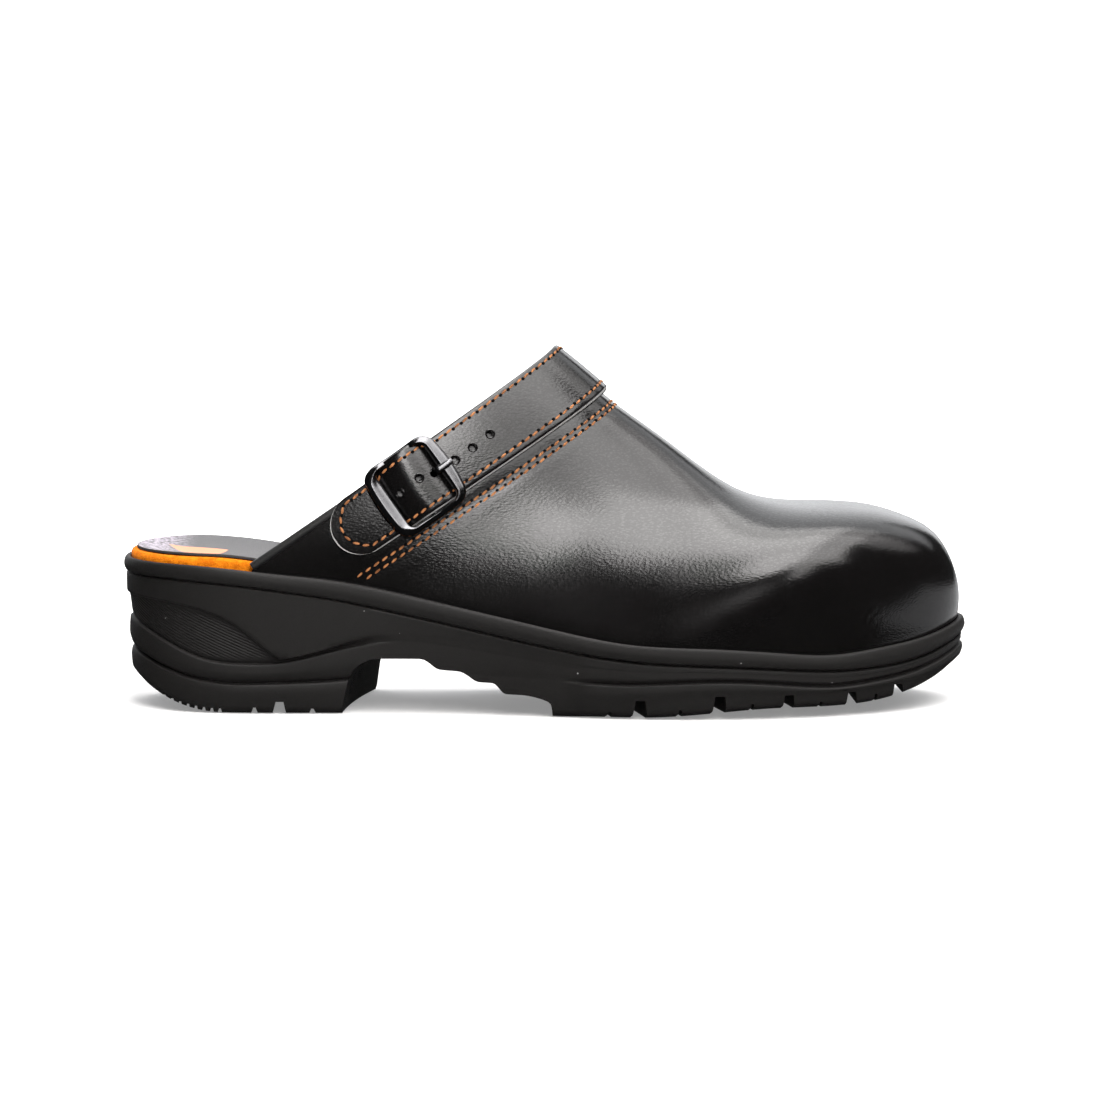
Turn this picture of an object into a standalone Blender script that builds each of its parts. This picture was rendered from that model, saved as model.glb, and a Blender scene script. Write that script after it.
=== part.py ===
"""Safety clog for the right foot: moulded sole, leather upper, footbed, instep strap and buckle.

Every length is in millimetres until place() turns it into metres. x runs from the back of the
heel to the toe, y to the inner (medial) side of the foot and z up from the floor.
"""
import math
from collections import namedtuple

import bmesh
import bpy
import numpy as np

for old in list(bpy.data.objects):
    bpy.data.objects.remove(old)

# Driving dimensions
LENGTH = 295.0
TOE_Y = 5.5
GAP = 0.3
WALL = 2.2
RIM = 2.4
FELT = 4.5
COVER = 0.9
COVER_INSET = 2.0
HEEL_CUP = 2.0
BINDING_WIDTH = 3.2
BINDING_PROUD = 0.6
STRAP_WIDTH = 22.0
STRAP_THICK = 2.0
STRAP_LIFT = BINDING_PROUD + GAP + 0.05
BAR_RADIUS = 1.0
BAR_SEAT = STRAP_LIFT + 0.1

# Mesh density
STATIONS = 40
RIBS = 26
RIB_HALF = 12

# Widest line of the sole, measured from the axis of the heel
Outline = namedtuple("Outline", "x lateral medial")
OUTLINE = (
    Outline(0.0, 0.0, 0.0),
    Outline(12.0, 26.6, 26.6),
    Outline(30.0, 35.6, 35.2),
    Outline(50.0, 37.8, 36.8),
    Outline(75.0, 38.0, 35.4),
    Outline(100.0, 38.6, 33.6),
    Outline(125.0, 41.2, 34.0),
    Outline(150.0, 46.5, 38.6),
    Outline(175.0, 51.6, 46.0),
    Outline(200.0, 54.0, 51.4),
    Outline(225.0, 52.0, 53.0),
    Outline(250.0, 44.6, 49.4),
    Outline(270.0, 34.0, 41.6),
    Outline(285.0, 21.4, 30.6),
    Outline(LENGTH, -TOE_Y, TOE_Y),
)

# Heights of the lines that run round the side of the sole, and of the bed inside it
Lines = namedtuple("Lines", "x lug band crease swoosh groove rim bed")
LINES = (
    Lines(0.0, 13.2, 20.0, 31.0, 39.2, 46.2, 51.6, 49.4),
    Lines(14.0, 6.6, 14.6, 24.4, 38.4, 46.2, 51.6, 49.4),
    Lines(28.0, 4.5, 11.2, 19.0, 36.0, 45.4, 51.2, 49.2),
    Lines(42.0, 4.0, 10.2, 17.4, 29.6, 44.2, 50.0, 48.2),
    Lines(56.0, 4.0, 10.5, 17.9, 19.4, 42.4, 48.5, 46.2),
    Lines(75.0, 4.2, 11.4, 22.2, 23.6, 39.6, 46.4, 42.6),
    Lines(95.0, 5.0, 13.6, 25.2, 27.6, 35.4, 42.6, 37.6),
    Lines(115.0, 5.4, 14.0, 23.4, 26.4, 31.0, 38.0, 31.8),
    Lines(135.0, 5.4, 13.2, 20.4, 23.2, 26.6, 33.6, 26.2),
    Lines(155.0, 5.0, 12.4, 17.4, 19.6, 22.8, 29.4, 21.2),
    Lines(175.0, 5.7, 11.8, 15.8, 17.6, 20.0, 26.0, 17.6),
    Lines(205.0, 7.9, 13.0, 15.4, 16.6, 18.4, 24.6, 14.8),
    Lines(230.0, 8.2, 11.8, 14.0, 15.4, 17.0, 22.8, 13.6),
    Lines(248.0, 8.2, 10.6, 12.8, 14.2, 15.9, 21.7, 13.4),
    Lines(264.0, 9.0, 11.8, 13.6, 14.8, 16.4, 23.2, 13.9),
    Lines(280.0, 11.4, 14.8, 16.6, 17.6, 18.9, 25.6, 15.4),
    Lines(LENGTH, 16.6, 20.6, 22.2, 23.2, 24.3, 29.6, 18.4),
)

# Rings of the sole's side from the tread up to the bed: the height is a share of the way
# between two lines, plus a lift; the last columns are how far in it lies at heel, waist and forefoot
Ring = namedtuple("Ring", "low high share lift heel waist forefoot")
RINGS = (
    Ring("ground", "ground", 0.0, 0.0, 4.6, 5.0, 6.4),
    Ring("ground", "ground", 0.0, 1.6, 3.2, 3.4, 2.6),
    Ring("lug", "lug", 0.0, 0.0, 2.8, 2.8, 1.6),
    Ring("lug", "band", 0.55, 0.0, 2.5, 2.5, 0.8),
    Ring("band", "band", 0.0, -0.5, 2.9, 2.4, 1.0),
    Ring("band", "band", 0.0, 0.2, 4.3, 2.4, 2.4),
    Ring("band", "band", 0.0, 1.2, 3.0, 2.3, 1.8),
    Ring("band", "crease", 0.5, 0.0, 1.9, 2.1, 1.4),
    Ring("crease", "crease", 0.0, -0.6, 2.2, 2.0, 1.3),
    Ring("crease", "crease", 0.0, 0.1, 3.4, 2.0, 1.3),
    Ring("crease", "crease", 0.0, 1.0, 2.9, 1.9, 1.3),
    Ring("swoosh", "swoosh", 0.0, -0.5, 1.9, 1.8, 1.2),
    Ring("swoosh", "swoosh", 0.0, 0.4, 1.0, 1.7, 1.2),
    Ring("groove", "groove", 0.0, -0.7, 0.9, 1.5, 1.3),
    Ring("groove", "groove", 0.0, 0.0, 1.5, 1.9, 2.0),
    Ring("groove", "groove", 0.0, 0.7, 0.6, 0.8, 0.8),
    Ring("groove", "rim", 0.5, 0.0, 0.0, 0.0, 0.0),
    Ring("rim", "rim", 0.0, -0.8, 0.4, 0.4, 0.4),
    Ring("rim", "rim", 0.0, 0.0, 1.2, 1.2, 1.2),
    Ring("rim", "rim", 0.0, -0.2, RIM, RIM, RIM),
    Ring("bed", "bed", 0.0, 0.0, RIM, RIM, RIM),
)
HEEL_END = (78.0, 96.0)
FOREFOOT_START = (148.0, 166.0)
STEP = 0.15

# Tread: flat between the heel bevel and the rocker under the ball, then the toe spring
HEEL_BEVEL, HEEL_BEVEL_HEIGHT = 35.0, 11.0
ROCKER_START, ROCKER_END, ROCKER_HEIGHT = 178.0, 232.0, 3.2
SPRING_START, SPRING_HEIGHT, SPRING_POWER = 240.0, 11.8, 3.2

# Underside of the arch from the heel breast to the first lug, lateral side
Arch = namedtuple("Arch", "x z")
ARCH = (
    Arch(76.5, -4.0),
    Arch(77.5, 4.0),
    Arch(80.0, 13.4),
    Arch(83.6, 17.4),
    Arch(90.0, 19.2),
    Arch(104.0, 19.2),
    Arch(111.0, 15.5),
    Arch(118.0, 14.9),
    Arch(124.5, 11.4),
    Arch(129.5, 11.1),
    Arch(134.0, 7.4),
    Arch(140.0, 7.2),
    Arch(149.5, 4.3),
    Arch(150.5, -4.0),
)
BREAST_SKEW = 12.0
BREAST_SIDES = (-38.0, 35.0)
BREAST_FADE = 30.0

# Grooves across the tread: x at the outer end, width, the stretch of y it covers and its slant
Groove = namedtuple("Groove", "x width start end slant")
SIDE_REACH = 70.0
SLANT, TOE_SLANT = -14.0, -4.0
HEEL_GROOVES = (Groove(55.4, 4.2, -SIDE_REACH, SIDE_REACH, 0.0),)
FOREFOOT_GAPS = ((184.3, 4.2, SLANT), (211.4, 4.4, SLANT), (236.0, 4.2, SLANT), (255.3, 3.6, TOE_SLANT),
                 (272.3, 4.0, TOE_SLANT))

# Channels along the tread, through the inner ends of the slanted grooves
Channel = namedtuple("Channel", "start end width y")
CHANNELS = (Channel(34.0, 70.0, 4.0, 0.0), Channel(158.0, 272.0, 5.0, 2.0))

# Upper: one rib for a row, from the feather line at base_x up to the ridge
Rib = namedtuple("Rib", "base_x ridge_x ridge_y ridge_z fullness")
RIBS_TABLE = (
    Rib(36.0, 146.4, 1.0, 124.9, 2.15),
    Rib(44.0, 150.4, 1.0, 121.8, 2.15),
    Rib(62.0, 160.0, 1.5, 114.0, 2.18),
    Rib(79.0, 171.4, 2.0, 104.6, 2.2),
    Rib(100.0, 186.4, 2.5, 93.8, 2.25),
    Rib(125.0, 201.0, 3.0, 82.9, 2.4),
    Rib(150.0, 214.6, 3.5, 74.2, 2.65),
    Rib(175.0, 227.6, 4.0, 70.1, 3),
    Rib(200.0, 240.6, 4.5, 69.1, 3.3),
    Rib(222.0, 252.2, 4.8, 68.6, 3.4),
    Rib(242.0, 262.6, 5.0, 67.4, 3.3),
    Rib(258.0, 271.4, 5.2, 65.0, 3.1),
    Rib(272.0, 280.8, 5.4, 60.9, 2.9),
    Rib(283.0, 287.8, 5.5, 53.8, 2.7),
    Rib(291.0, 292.2, 5.5, 42.4, 2.6),
    Rib(LENGTH, LENGTH - RIM - GAP, 5.5, 29.6, 2.5),
)
COLLAR = 41.4
COLLAR_SKEW, SKEW_END = 11.0, 150.0
STRAP_LOW = 73.2
STRAP_BOW = 0.04

# Strap: places along it, measured from the middle of the buckle
BUCKLE_H = 0.4535
TIP = -33.4
TIP_RADIUS = 10.4
MEDIAL_END_H = 0.34
HOLE_RADIUS = 1.25
Hole = namedtuple("Hole", "s towards_collar")
HOLES = (Hole(-6.1, 0.9), Hole(2.2, 1.4), Hole(16.2, -0.5), Hole(23.5, -0.5), Hole(31.1, -0.2))
PRONG_SLOT = (5.4, 9.4, 1.6)
HUMP_HALF = 5.0
HUMP = BAR_SEAT + BAR_RADIUS * 2 + GAP * 1.5 - STRAP_LIFT

# Buckle frame, lengths along and across the strap
FRAME_SHIFT = -0.1
FRAME_OUTER, FRAME_OUTER_RADIUS = (12.9, 13.9), 4.4
FRAME_INNER, FRAME_INNER_RADIUS = (9.8, 11.5), 2.4
BAR_BOW = 1.8
TIP_BAR_EXTRA = 0.9
FRAME_HEIGHT = 2.4
FRAME_SEAT = STRAP_LIFT + STRAP_THICK + 0.45
RAIL_DIP = 2.0
PRONG_WIDTH, PRONG_THICK = 2.4, 1.0


class Spline:
    """Natural cubic curve through knots."""

    def __init__(self, knots, values):
        self.x = np.asarray(knots, float)
        self.y = np.asarray(values, float)
        span = np.diff(self.x)
        size = len(self.x)
        matrix, right = np.eye(size), np.zeros(size)
        for i in range(1, size - 1):
            matrix[i, i - 1:i + 2] = span[i - 1], 2 * (span[i - 1] + span[i]), span[i]
            rise = np.diff(self.y[i - 1:i + 2]) / span[i - 1:i + 1]
            right[i] = 6 * (rise[1] - rise[0])
        self.bend = np.linalg.solve(matrix, right)

    def __call__(self, at):
        i = int(np.clip(np.searchsorted(self.x, at) - 1, 0, len(self.x) - 2))
        span = self.x[i + 1] - self.x[i]
        a = (self.x[i + 1] - at) / span
        b = 1 - a
        bow = (a ** 3 - a) * self.bend[i] + (b ** 3 - b) * self.bend[i + 1]
        return a * self.y[i] + b * self.y[i + 1] + bow * span ** 2 / 6


def turn(x):
    """Station along the shoe, 0 at the heel and 1 at the toe, close-set at both round ends."""
    return math.acos(1 - 2 * min(max(x / LENGTH, 0.0), 1.0)) / math.pi


def along(t):
    return LENGTH / 2 * (1 - math.cos(math.pi * t))


def ease(x, start, end):
    s = min(max((x - start) / (end - start), 0.0), 1.0)
    return s * s * (3 - 2 * s)


def splines(table, knot=turn):
    """One curve for each column of a table."""
    first, *columns = zip(*table)
    knots = [knot(x) for x in first]
    return {name: Spline(knots, ys) for name, ys in zip(table[0]._fields[1:], columns)}


half_width = splines(OUTLINE)
side_line = splines(LINES, float)
rib_line = splines(RIBS_TABLE)
Y_MID = (max(half_width["medial"](i / 400) for i in range(401))
         - max(half_width["lateral"](i / 400) for i in range(401))) / 2


def place(points):
    """Millimetres from the heel into metres about the middle of the footprint."""
    return (np.asarray(points, float) - (LENGTH / 2, Y_MID, 0.0)) / 1000


def edge(t, side):
    """Outline point; side is -1 lateral, 1 medial."""
    name = "medial" if side > 0 else "lateral"
    return np.array((along(t), side * half_width[name](t)))


def inset(t, side, depth):
    """Outline point moved inwards, square to the outline."""
    tangent = edge(t + 1e-4, side) - edge(t - 1e-4, side)
    inward = np.array((tangent[1], -tangent[0])) * side / np.linalg.norm(tangent)
    return edge(t, side) + depth * inward


def ground(x):
    bevel = max(0.0, 1 - x / HEEL_BEVEL) ** 2 * HEEL_BEVEL_HEIGHT
    rocker = ease(x, ROCKER_START, ROCKER_END) * ROCKER_HEIGHT
    spring = max(0.0, (x - SPRING_START) / (LENGTH - SPRING_START)) ** SPRING_POWER * SPRING_HEIGHT
    return bevel + rocker + spring


def height(name, t):
    """Height of a named line of the sole at a station."""
    return ground(along(t)) if name == "ground" else side_line[name](along(t))


def cup(t):
    """Depth of the footbed's hollow along the middle."""
    return HEEL_CUP * (1 - ease(along(t), 60.0, 200.0)) * ease(along(t), 0.0, 20.0)


def side_rings(t, side):
    """Points of the sole's side at one station, from the tread up to the bed."""
    heel = 1 - ease(along(t), *HEEL_END)
    forefoot = ease(along(t), *FOREFOOT_START)
    points, last = [], -1.0
    for ring in RINGS:
        low, high = height(ring.low, t), height(ring.high, t)
        z = low + (high - low) * ring.share + ring.lift
        if points and len(points) < len(RINGS) - 2:
            z = max(z, last + STEP)
        last = z
        depth = ring.heel * heel + ring.forefoot * forefoot + ring.waist * (1 - heel - forefoot)
        x, y = inset(t, side, depth)
        points.append(np.array((x, y, z)))
    return points


def sole_loop(t):
    """Closed section of the sole at one station."""
    lateral, medial = side_rings(t, -1), side_rings(t, 1)
    bed = [lateral[-1] + (medial[-1] - lateral[-1]) * s for s in (0.25, 0.5, 0.75)]
    for point, s in zip(bed, (0.25, 0.5, 0.75)):
        point[2] -= cup(t) * (1 - (2 * s - 1) ** 2)
    tread = [medial[0] + (lateral[0] - medial[0]) * s for s in (0.2, 0.4, 0.6, 0.8)]
    return lateral + bed + medial[::-1] + tread


def feather(t):
    return height("rim", t) - 0.4


def skew(t, side):
    """How far forward a rib's foot stands on the medial side, most at the collar."""
    return COLLAR_SKEW * (1 - ease(along(t), COLLAR, SKEW_END)) if side > 0 else 0.0


def foot(t, side):
    """Station of a rib's foot."""
    return turn(along(t) + skew(t, side))


def rib_point(t, h, side):
    """Point of the upper's outer face: rib t, share h of the way up, on one side."""
    x, y = inset(foot(t, side), side, RIM + GAP)
    top_x, top_y, top_z = (rib_line[n](t) for n in ("ridge_x", "ridge_y", "ridge_z"))
    n = rib_line["fullness"](t)
    h = min(max(h, 0.0), 1.0)
    out = (1 - h ** n) ** (1 / n)
    low = feather(foot(t, side))
    forward = skew(t, side) * (out - 1 + h)
    return np.array((x + (top_x - x) * h + forward, top_y + (y - top_y) * out, low + (top_z - low) * h))


def rib_turn(t, angle):
    """Rib point by angle: -90 degrees at the lateral feather line, 0 on the ridge, 90 medial."""
    n = rib_line["fullness"](t)
    h = abs(math.cos(angle)) ** (2 / n)
    return rib_point(t, h, 1 if angle > 0 else -1)


def rib_normal(t, angle):
    step_t, step_a = 2e-4, 2e-3
    t0, t1 = t - step_t, min(t + step_t, 0.9995)
    a0, a1 = max(angle - step_a, -math.pi / 2), min(angle + step_a, math.pi / 2)
    across = rib_turn(t, a1) - rib_turn(t, a0)
    down = rib_turn(t1, angle) - rib_turn(t0, angle)
    normal = np.cross(down, across)
    return normal / np.linalg.norm(normal)


def upper_column(t, depth):
    """One rib of the shell with its skirt in the sole, moved in by a depth."""
    points = []
    for side in (-1, 1):
        base = foot(t, side)
        x, y = inset(base, side, RIM + GAP + depth)
        skirt = [np.array((x, y, z)) for z in (height("bed", base) + GAP, feather(base) - 1.5)]
        angles = [side * math.pi / 2 * (1 - (i + 0.35) / (RIB_HALF + 0.35)) for i in range(RIB_HALF + 1)]
        shell = [rib_turn(t, a) - depth * rib_normal(t, a) for a in angles]
        if side < 0:
            points += skirt + shell
        else:
            points += shell[-2::-1] + skirt[::-1]
    return points


def finish(name, bm, colour, roughness, metallic=0.0):
    """Turn a bmesh into the named sub-part with its own material."""
    bmesh.ops.remove_doubles(bm, verts=bm.verts, dist=2e-6)
    bmesh.ops.dissolve_degenerate(bm, edges=bm.edges, dist=1e-7)
    bmesh.ops.recalc_face_normals(bm, faces=bm.faces)
    mesh = bpy.data.meshes.new(name)
    bm.to_mesh(mesh)
    bm.free()
    item = bpy.data.objects.new(name, mesh)
    bpy.context.collection.objects.link(item)
    material = bpy.data.materials.new(name)
    material.use_nodes = True
    shader = material.node_tree.nodes["Principled BSDF"]
    shader.inputs["Base Color"].default_value = (*colour, 1.0)
    shader.inputs["Roughness"].default_value = roughness
    shader.inputs["Metallic"].default_value = metallic
    mesh.materials.append(material)
    return item


def add_grid(bm, rows):
    return [[bm.verts.new(p) for p in place(row)] for row in rows]


def skin(bm, grid, closed=False):
    """Quads over a grid of vertices; closed joins the last column to the first."""
    for row, following in zip(grid, grid[1:]):
        count = len(row)
        for j in range(count if closed else count - 1):
            k = (j + 1) % count
            bm.faces.new((row[j], row[k], following[k], following[j]))


def shell(name, outer, inner, *look):
    """Closed solid between two grids of points, one over the other."""
    bm = bmesh.new()
    top, bottom = add_grid(bm, outer), add_grid(bm, inner)
    skin(bm, top)
    skin(bm, bottom)
    rims = ([r[0] for r in top], [r[0] for r in bottom]), ([r[-1] for r in top], [r[-1] for r in bottom])
    for pair in (*rims, (top[0], bottom[0]), (top[-1], bottom[-1])):
        skin(bm, pair)
    return finish(name, bm, *look)


def tube(bm, loops, closed):
    """Skin over a run of closed loops, capped at both ends unless the run itself closes."""
    grid = add_grid(bm, loops)
    skin(bm, grid + grid[:1] if closed else grid, closed=True)
    if not closed:
        bm.faces.new(grid[0])
        bm.faces.new(grid[-1])


def cut(item, name, loops_list):
    """Take a set of separate capped prisms out of an item."""
    bm = bmesh.new()
    for loops in loops_list:
        tube(bm, loops, closed=False)
    cutter = finish(name, bm, (0.5, 0.5, 0.5), 0.5)
    cutter.hide_render = True
    cutter.display_type = "WIRE"
    modifier = item.modifiers.new(name, "BOOLEAN")
    modifier.operation = "DIFFERENCE"
    modifier.solver = "EXACT"
    modifier.object = cutter


def groove_prism(groove):
    """Prism that cuts one groove of the tread up to the lug line."""
    top = height("lug", turn(groove.x))
    half = groove.width / 2
    loops = []
    for y, shift in ((groove.start, 0.0), (groove.end, groove.slant)):
        x = groove.x + shift
        loops.append([(x - half, y, -6), (x - half, y, top), (x + half, y, top), (x + half, y, -6)])
    return loops


def channel_prism(channel):
    """Prism that cuts one channel along the tread, a little shallower than the grooves."""
    half = channel.width / 2
    loops = []
    for i in range(7):
        x = channel.start + (channel.end - channel.start) * i / 6
        top = height("lug", turn(x)) - 0.8
        sides = ((-half, -6), (-half, top), (half, top), (half, -6))
        loops.append([(x, channel.y + y, z) for y, z in sides])
    return loops


def arch_prism():
    """Prism under the arch, with the heel breast set further forward on the medial side."""
    loops = []
    outer_y, inner_y = BREAST_SIDES
    for y in (-SIDE_REACH, SIDE_REACH):
        skew = BREAST_SKEW * (y - outer_y) / (inner_y - outer_y)
        fade = [max(0.0, 1 - (row.x - ARCH[0].x) / BREAST_FADE) for row in ARCH]
        loops.append([(row.x + skew * f, y, row.z) for row, f in zip(ARCH, fade)])
    return loops


# Sole: closed sections from heel to toe, then the arch and the tread are cut
bm = bmesh.new()
stations = [i / STATIONS for i in range(STATIONS + 1)]
skin(bm, add_grid(bm, [sole_loop(t) for t in stations]), closed=True)
sole = finish("sole", bm, (0.012, 0.012, 0.013), 0.62)
cut(sole, "arch_cutter", [arch_prism()])
grooves = list(HEEL_GROOVES)
for gap_x, gap_width, gap_slant in FOREFOOT_GAPS:
    for side in (-1, 1):
        inner_end = CHANNELS[1].y + side * CHANNELS[1].width * 0.3
        grooves.append(Groove(gap_x, gap_width, side * SIDE_REACH, inner_end, gap_slant))
cut(sole, "groove_cutter", [groove_prism(g) for g in grooves])
cut(sole, "channel_cutter", [channel_prism(c) for c in CHANNELS])

# Upper: ribs from the collar to the toe
first = turn(COLLAR + (BINDING_WIDTH + GAP) * 1.5)
rib_stations = [first + (1 - first) * i / RIBS for i in range(RIBS)] + [0.9985]
upper = shell("upper", [upper_column(t, 0.0) for t in rib_stations],
              [upper_column(t, WALL) for t in rib_stations], (0.016, 0.016, 0.017), 0.32)


def bed_rows(depth_front, depth_heel, lift):
    """Rows across the footbed, clear of the upper in front and of the rim at the heel."""
    rows = []
    for t in stations:
        front = ease(along(t), 20.0, 38.0)
        depth = depth_heel + (depth_front - depth_heel) * front
        ends = [np.array((*inset(t, side, depth), height("bed", t) + lift)) for side in (-1, 1)]
        row = [ends[0] + (ends[1] - ends[0]) * s for s in (0, 0.25, 0.5, 0.75, 1)]
        for point, s in zip(row, (0, 0.25, 0.5, 0.75, 1)):
            point[2] -= cup(t) * (1 - (2 * s - 1) ** 2)
        rows.append(row)
    return rows


FRONT_INSET = RIM + GAP + WALL + BINDING_PROUD + GAP
HEEL_INSET = RIM + GAP
COVER_LIFT = GAP + FELT + GAP
shell("insole", bed_rows(FRONT_INSET, HEEL_INSET, GAP + FELT), bed_rows(FRONT_INSET, HEEL_INSET, GAP),
      (0.75, 0.2, 0.03), 0.9)
shell("insole_cover",
      bed_rows(FRONT_INSET + COVER_INSET, HEEL_INSET + COVER_INSET, COVER_LIFT + COVER),
      bed_rows(FRONT_INSET + COVER_INSET, HEEL_INSET + COVER_INSET, COVER_LIFT),
      (0.2, 0.2, 0.21), 0.9)

# Binding: a rounded roll along the collar edge, standing proud of the wall on both faces
roll = [(math.cos(a), math.sin(a)) for a in (math.pi / 4 * (i + 0.5) for i in range(8))]
collar_t, wall_t = turn(COLLAR), turn(COLLAR + BINDING_WIDTH * 1.5)
loops = []
for i in range(37):
    angle = math.pi / 2 * 0.975 * (i / 18 - 1)
    edge_point, wall_point = rib_turn(collar_t, angle), rib_turn(wall_t, angle)
    normal = rib_normal(turn(COLLAR + 2.4), angle)
    middle = (edge_point + wall_point) / 2 - normal * WALL / 2
    tangent = rib_turn(collar_t, angle + 0.01) - rib_turn(collar_t, angle - 0.01)
    width_way = np.cross(tangent, normal)
    width_way /= np.linalg.norm(width_way)
    stretch = abs(np.dot(wall_point - edge_point, width_way)) / 2 / math.cos(math.pi / 8)
    thick = (WALL / 2 + BINDING_PROUD) / math.cos(math.pi / 8)
    loops.append([middle + width_way * stretch * u + normal * thick * v for u, v in roll])
bm = bmesh.new()
tube(bm, loops, closed=False)
finish("collar_binding", bm, (0.014, 0.014, 0.014), 0.5)

# Strap: runs on the ribs between the collar and its lower edge
strap_mid = turn((COLLAR + STRAP_LOW) / 2)


def arc_table():
    """Length along the strap's middle rib for a run of angles."""
    angles = np.linspace(-math.pi / 2, math.pi / 2, 721)
    points = np.array([rib_turn(strap_mid, a) for a in angles])
    lengths = np.concatenate(([0.0], np.cumsum(np.linalg.norm(np.diff(points, axis=0), axis=1))))
    return angles, lengths


def angle_of(h, t, side):
    return side * math.acos(min(h ** (rib_line["fullness"](t) / 2), 1.0))


ARC_ANGLES, ARC_LENGTHS = arc_table()
ARC_ZERO = np.interp(angle_of(BUCKLE_H, strap_mid, -1), ARC_ANGLES, ARC_LENGTHS)
MEDIAL_END = np.interp(angle_of(MEDIAL_END_H, strap_mid, 1), ARC_ANGLES, ARC_LENGTHS) - ARC_ZERO


def strap_point(s, w, lift):
    """Point over the upper: s along the strap from the buckle, w across it from the collar edge."""
    share = w / STRAP_WIDTH
    t = turn(COLLAR + (STRAP_LOW - COLLAR) * share * (1 + STRAP_BOW * (1 - share)))
    angle = float(np.interp(s + ARC_ZERO, ARC_LENGTHS, ARC_ANGLES))
    side = 1 if angle > 0 else -1
    h = abs(math.cos(angle)) ** (2 / rib_line["fullness"](strap_mid))
    low, high = rib_point(strap_mid, 0.0, side), rib_point(strap_mid, 1.0, side)
    spread = (rib_point(turn(STRAP_LOW), h, side) - rib_point(turn(COLLAR), h, side))[[0, 2]]
    rise = (high - low)[[0, 2]]
    lean = np.dot(spread, rise) / np.dot(rise, rise)
    h = h - lean * (share - 0.5) * (1 - ease(h, 0.55, 0.98))
    turned = angle_of(min(max(h, 0.0), 1.0), t, side)
    return rib_turn(t, turned) + lift * rib_normal(t, turned)


def strap_lift(s):
    """The strap rises over the buckle's centre bar."""
    return STRAP_LIFT + HUMP * math.exp(-(s / HUMP_HALF) ** 2)


def tip_round(w):
    """How far the rounded tip falls back at a place across the strap."""
    near = min(w, STRAP_WIDTH - w)
    return TIP_RADIUS - math.sqrt(TIP_RADIUS ** 2 - max(TIP_RADIUS - near, 0.0) ** 2)


CROSS = [0.0, 1.4, 5.0, 11.0, 17.0, 20.6, STRAP_WIDTH]
RUN = [*np.linspace(TIP, 20.0, 22), *np.linspace(20.0, MEDIAL_END, 34)[1:]]


def strap_rows(extra):
    rows = []
    for s in RUN:
        row = []
        for w in CROSS:
            from_tip = max(0.0, 1 - (s - TIP) / 24.0)
            from_end = max(0.0, 1 - (MEDIAL_END - s) / 24.0)
            place_s = s + tip_round(w) * (from_tip - from_end)
            row.append(strap_point(place_s, w, strap_lift(place_s) + extra))
        rows.append(row)
    return rows


strap = shell("instep_strap", strap_rows(STRAP_THICK), strap_rows(0.0), (0.016, 0.016, 0.017), 0.35)
middle = STRAP_WIDTH / 2
centre = strap_point(0.0, middle, 0.0)
way = strap_point(6.0, middle, 0.0) - strap_point(-6.0, middle, 0.0)
way /= np.linalg.norm(way)
out = np.cross(strap_point(0.0, STRAP_WIDTH, 0.0) - strap_point(0.0, 0.0, 0.0), way)
out /= np.linalg.norm(out)
out = out if out[1] < 0 else -out
cross = np.cross(out, way)


def strap_tool(s, towards_collar, half_along, half_across, sides):
    """Prism through the strap at a place along it, round or with flat ends."""
    spot = strap_point(s, middle - towards_collar, 0.0)
    loops = []
    for lift in (-1.0, 9.0):
        ring = []
        for i in range(sides):
            a = 2 * math.pi * (i + 0.5) / sides
            ring.append(spot + way * half_along * math.cos(a) + cross * half_across * math.sin(a) + out * lift)
        loops.append(ring)
    return loops


slot_start, slot_end, slot_half = PRONG_SLOT
slot = strap_tool((slot_start + slot_end) / 2, FRAME_SHIFT, (slot_end - slot_start) / 2 * 1.08, slot_half * 1.08, 8)
cut(strap, "hole_cutter", [strap_tool(*hole, HOLE_RADIUS, HOLE_RADIUS, 12) for hole in HOLES] + [slot])


def buckle_point(s, w, lift):
    """Point in the buckle's own flat frame."""
    return centre + way * s + cross * (w + FRAME_SHIFT) + out * lift


def rounded(half_size, radius, steps=4, splits=5):
    """Corner-rounded rectangle, from one corner round to the next, with points along its sides."""
    points = []
    for corner, (sx, sy) in enumerate(((1, 1), (-1, 1), (-1, -1), (1, -1))):
        for i in range(steps + 1):
            a = math.pi / 2 * (corner + i / steps)
            points.append((sx * (half_size[0] - radius) + radius * math.cos(a),
                           sy * (half_size[1] - radius) + radius * math.sin(a)))
        for i in range(1, splits + 1):
            share = 1 - 2 * i / (splits + 1)
            if corner % 2:
                points.append((sx * half_size[0], sy * (half_size[1] - radius) * share))
            else:
                points.append((sx * (half_size[0] - radius) * share, sy * half_size[1]))
    return points


# Buckle: a frame with its crest near the window and bowed end bars, dipping to the centre bar at its rails
BAND = ((0.0, 0.3), (0.06, 0.78), (0.3, 1.0), (0.55, 0.86), (0.85, 0.5), (1.0, 0.15), (0.88, 0.0), (0.12, 0.0))
loops = []
for inner, outer in zip(rounded(FRAME_INNER, FRAME_INNER_RADIUS), rounded(FRAME_OUTER, FRAME_OUTER_RADIUS)):
    loop = []
    for share, rise in BAND:
        swell = BAR_BOW * (1 - (outer[1] / FRAME_OUTER[1]) ** 2) + (TIP_BAR_EXTRA if outer[0] < 0 else 0.0)
        bow = math.copysign(swell * ease(abs(outer[0]), 8.0, 12.0), outer[0])
        s = inner[0] + (outer[0] + bow - inner[0]) * share
        w = inner[1] + (outer[1] - inner[1]) * share
        seat = FRAME_SEAT - RAIL_DIP * (1 - ease(abs(s), 2.0, 8.0))
        loop.append(buckle_point(s, w, seat + FRAME_HEIGHT * rise))
    loops.append(loop)
bm = bmesh.new()
tube(bm, loops, closed=True)
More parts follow.
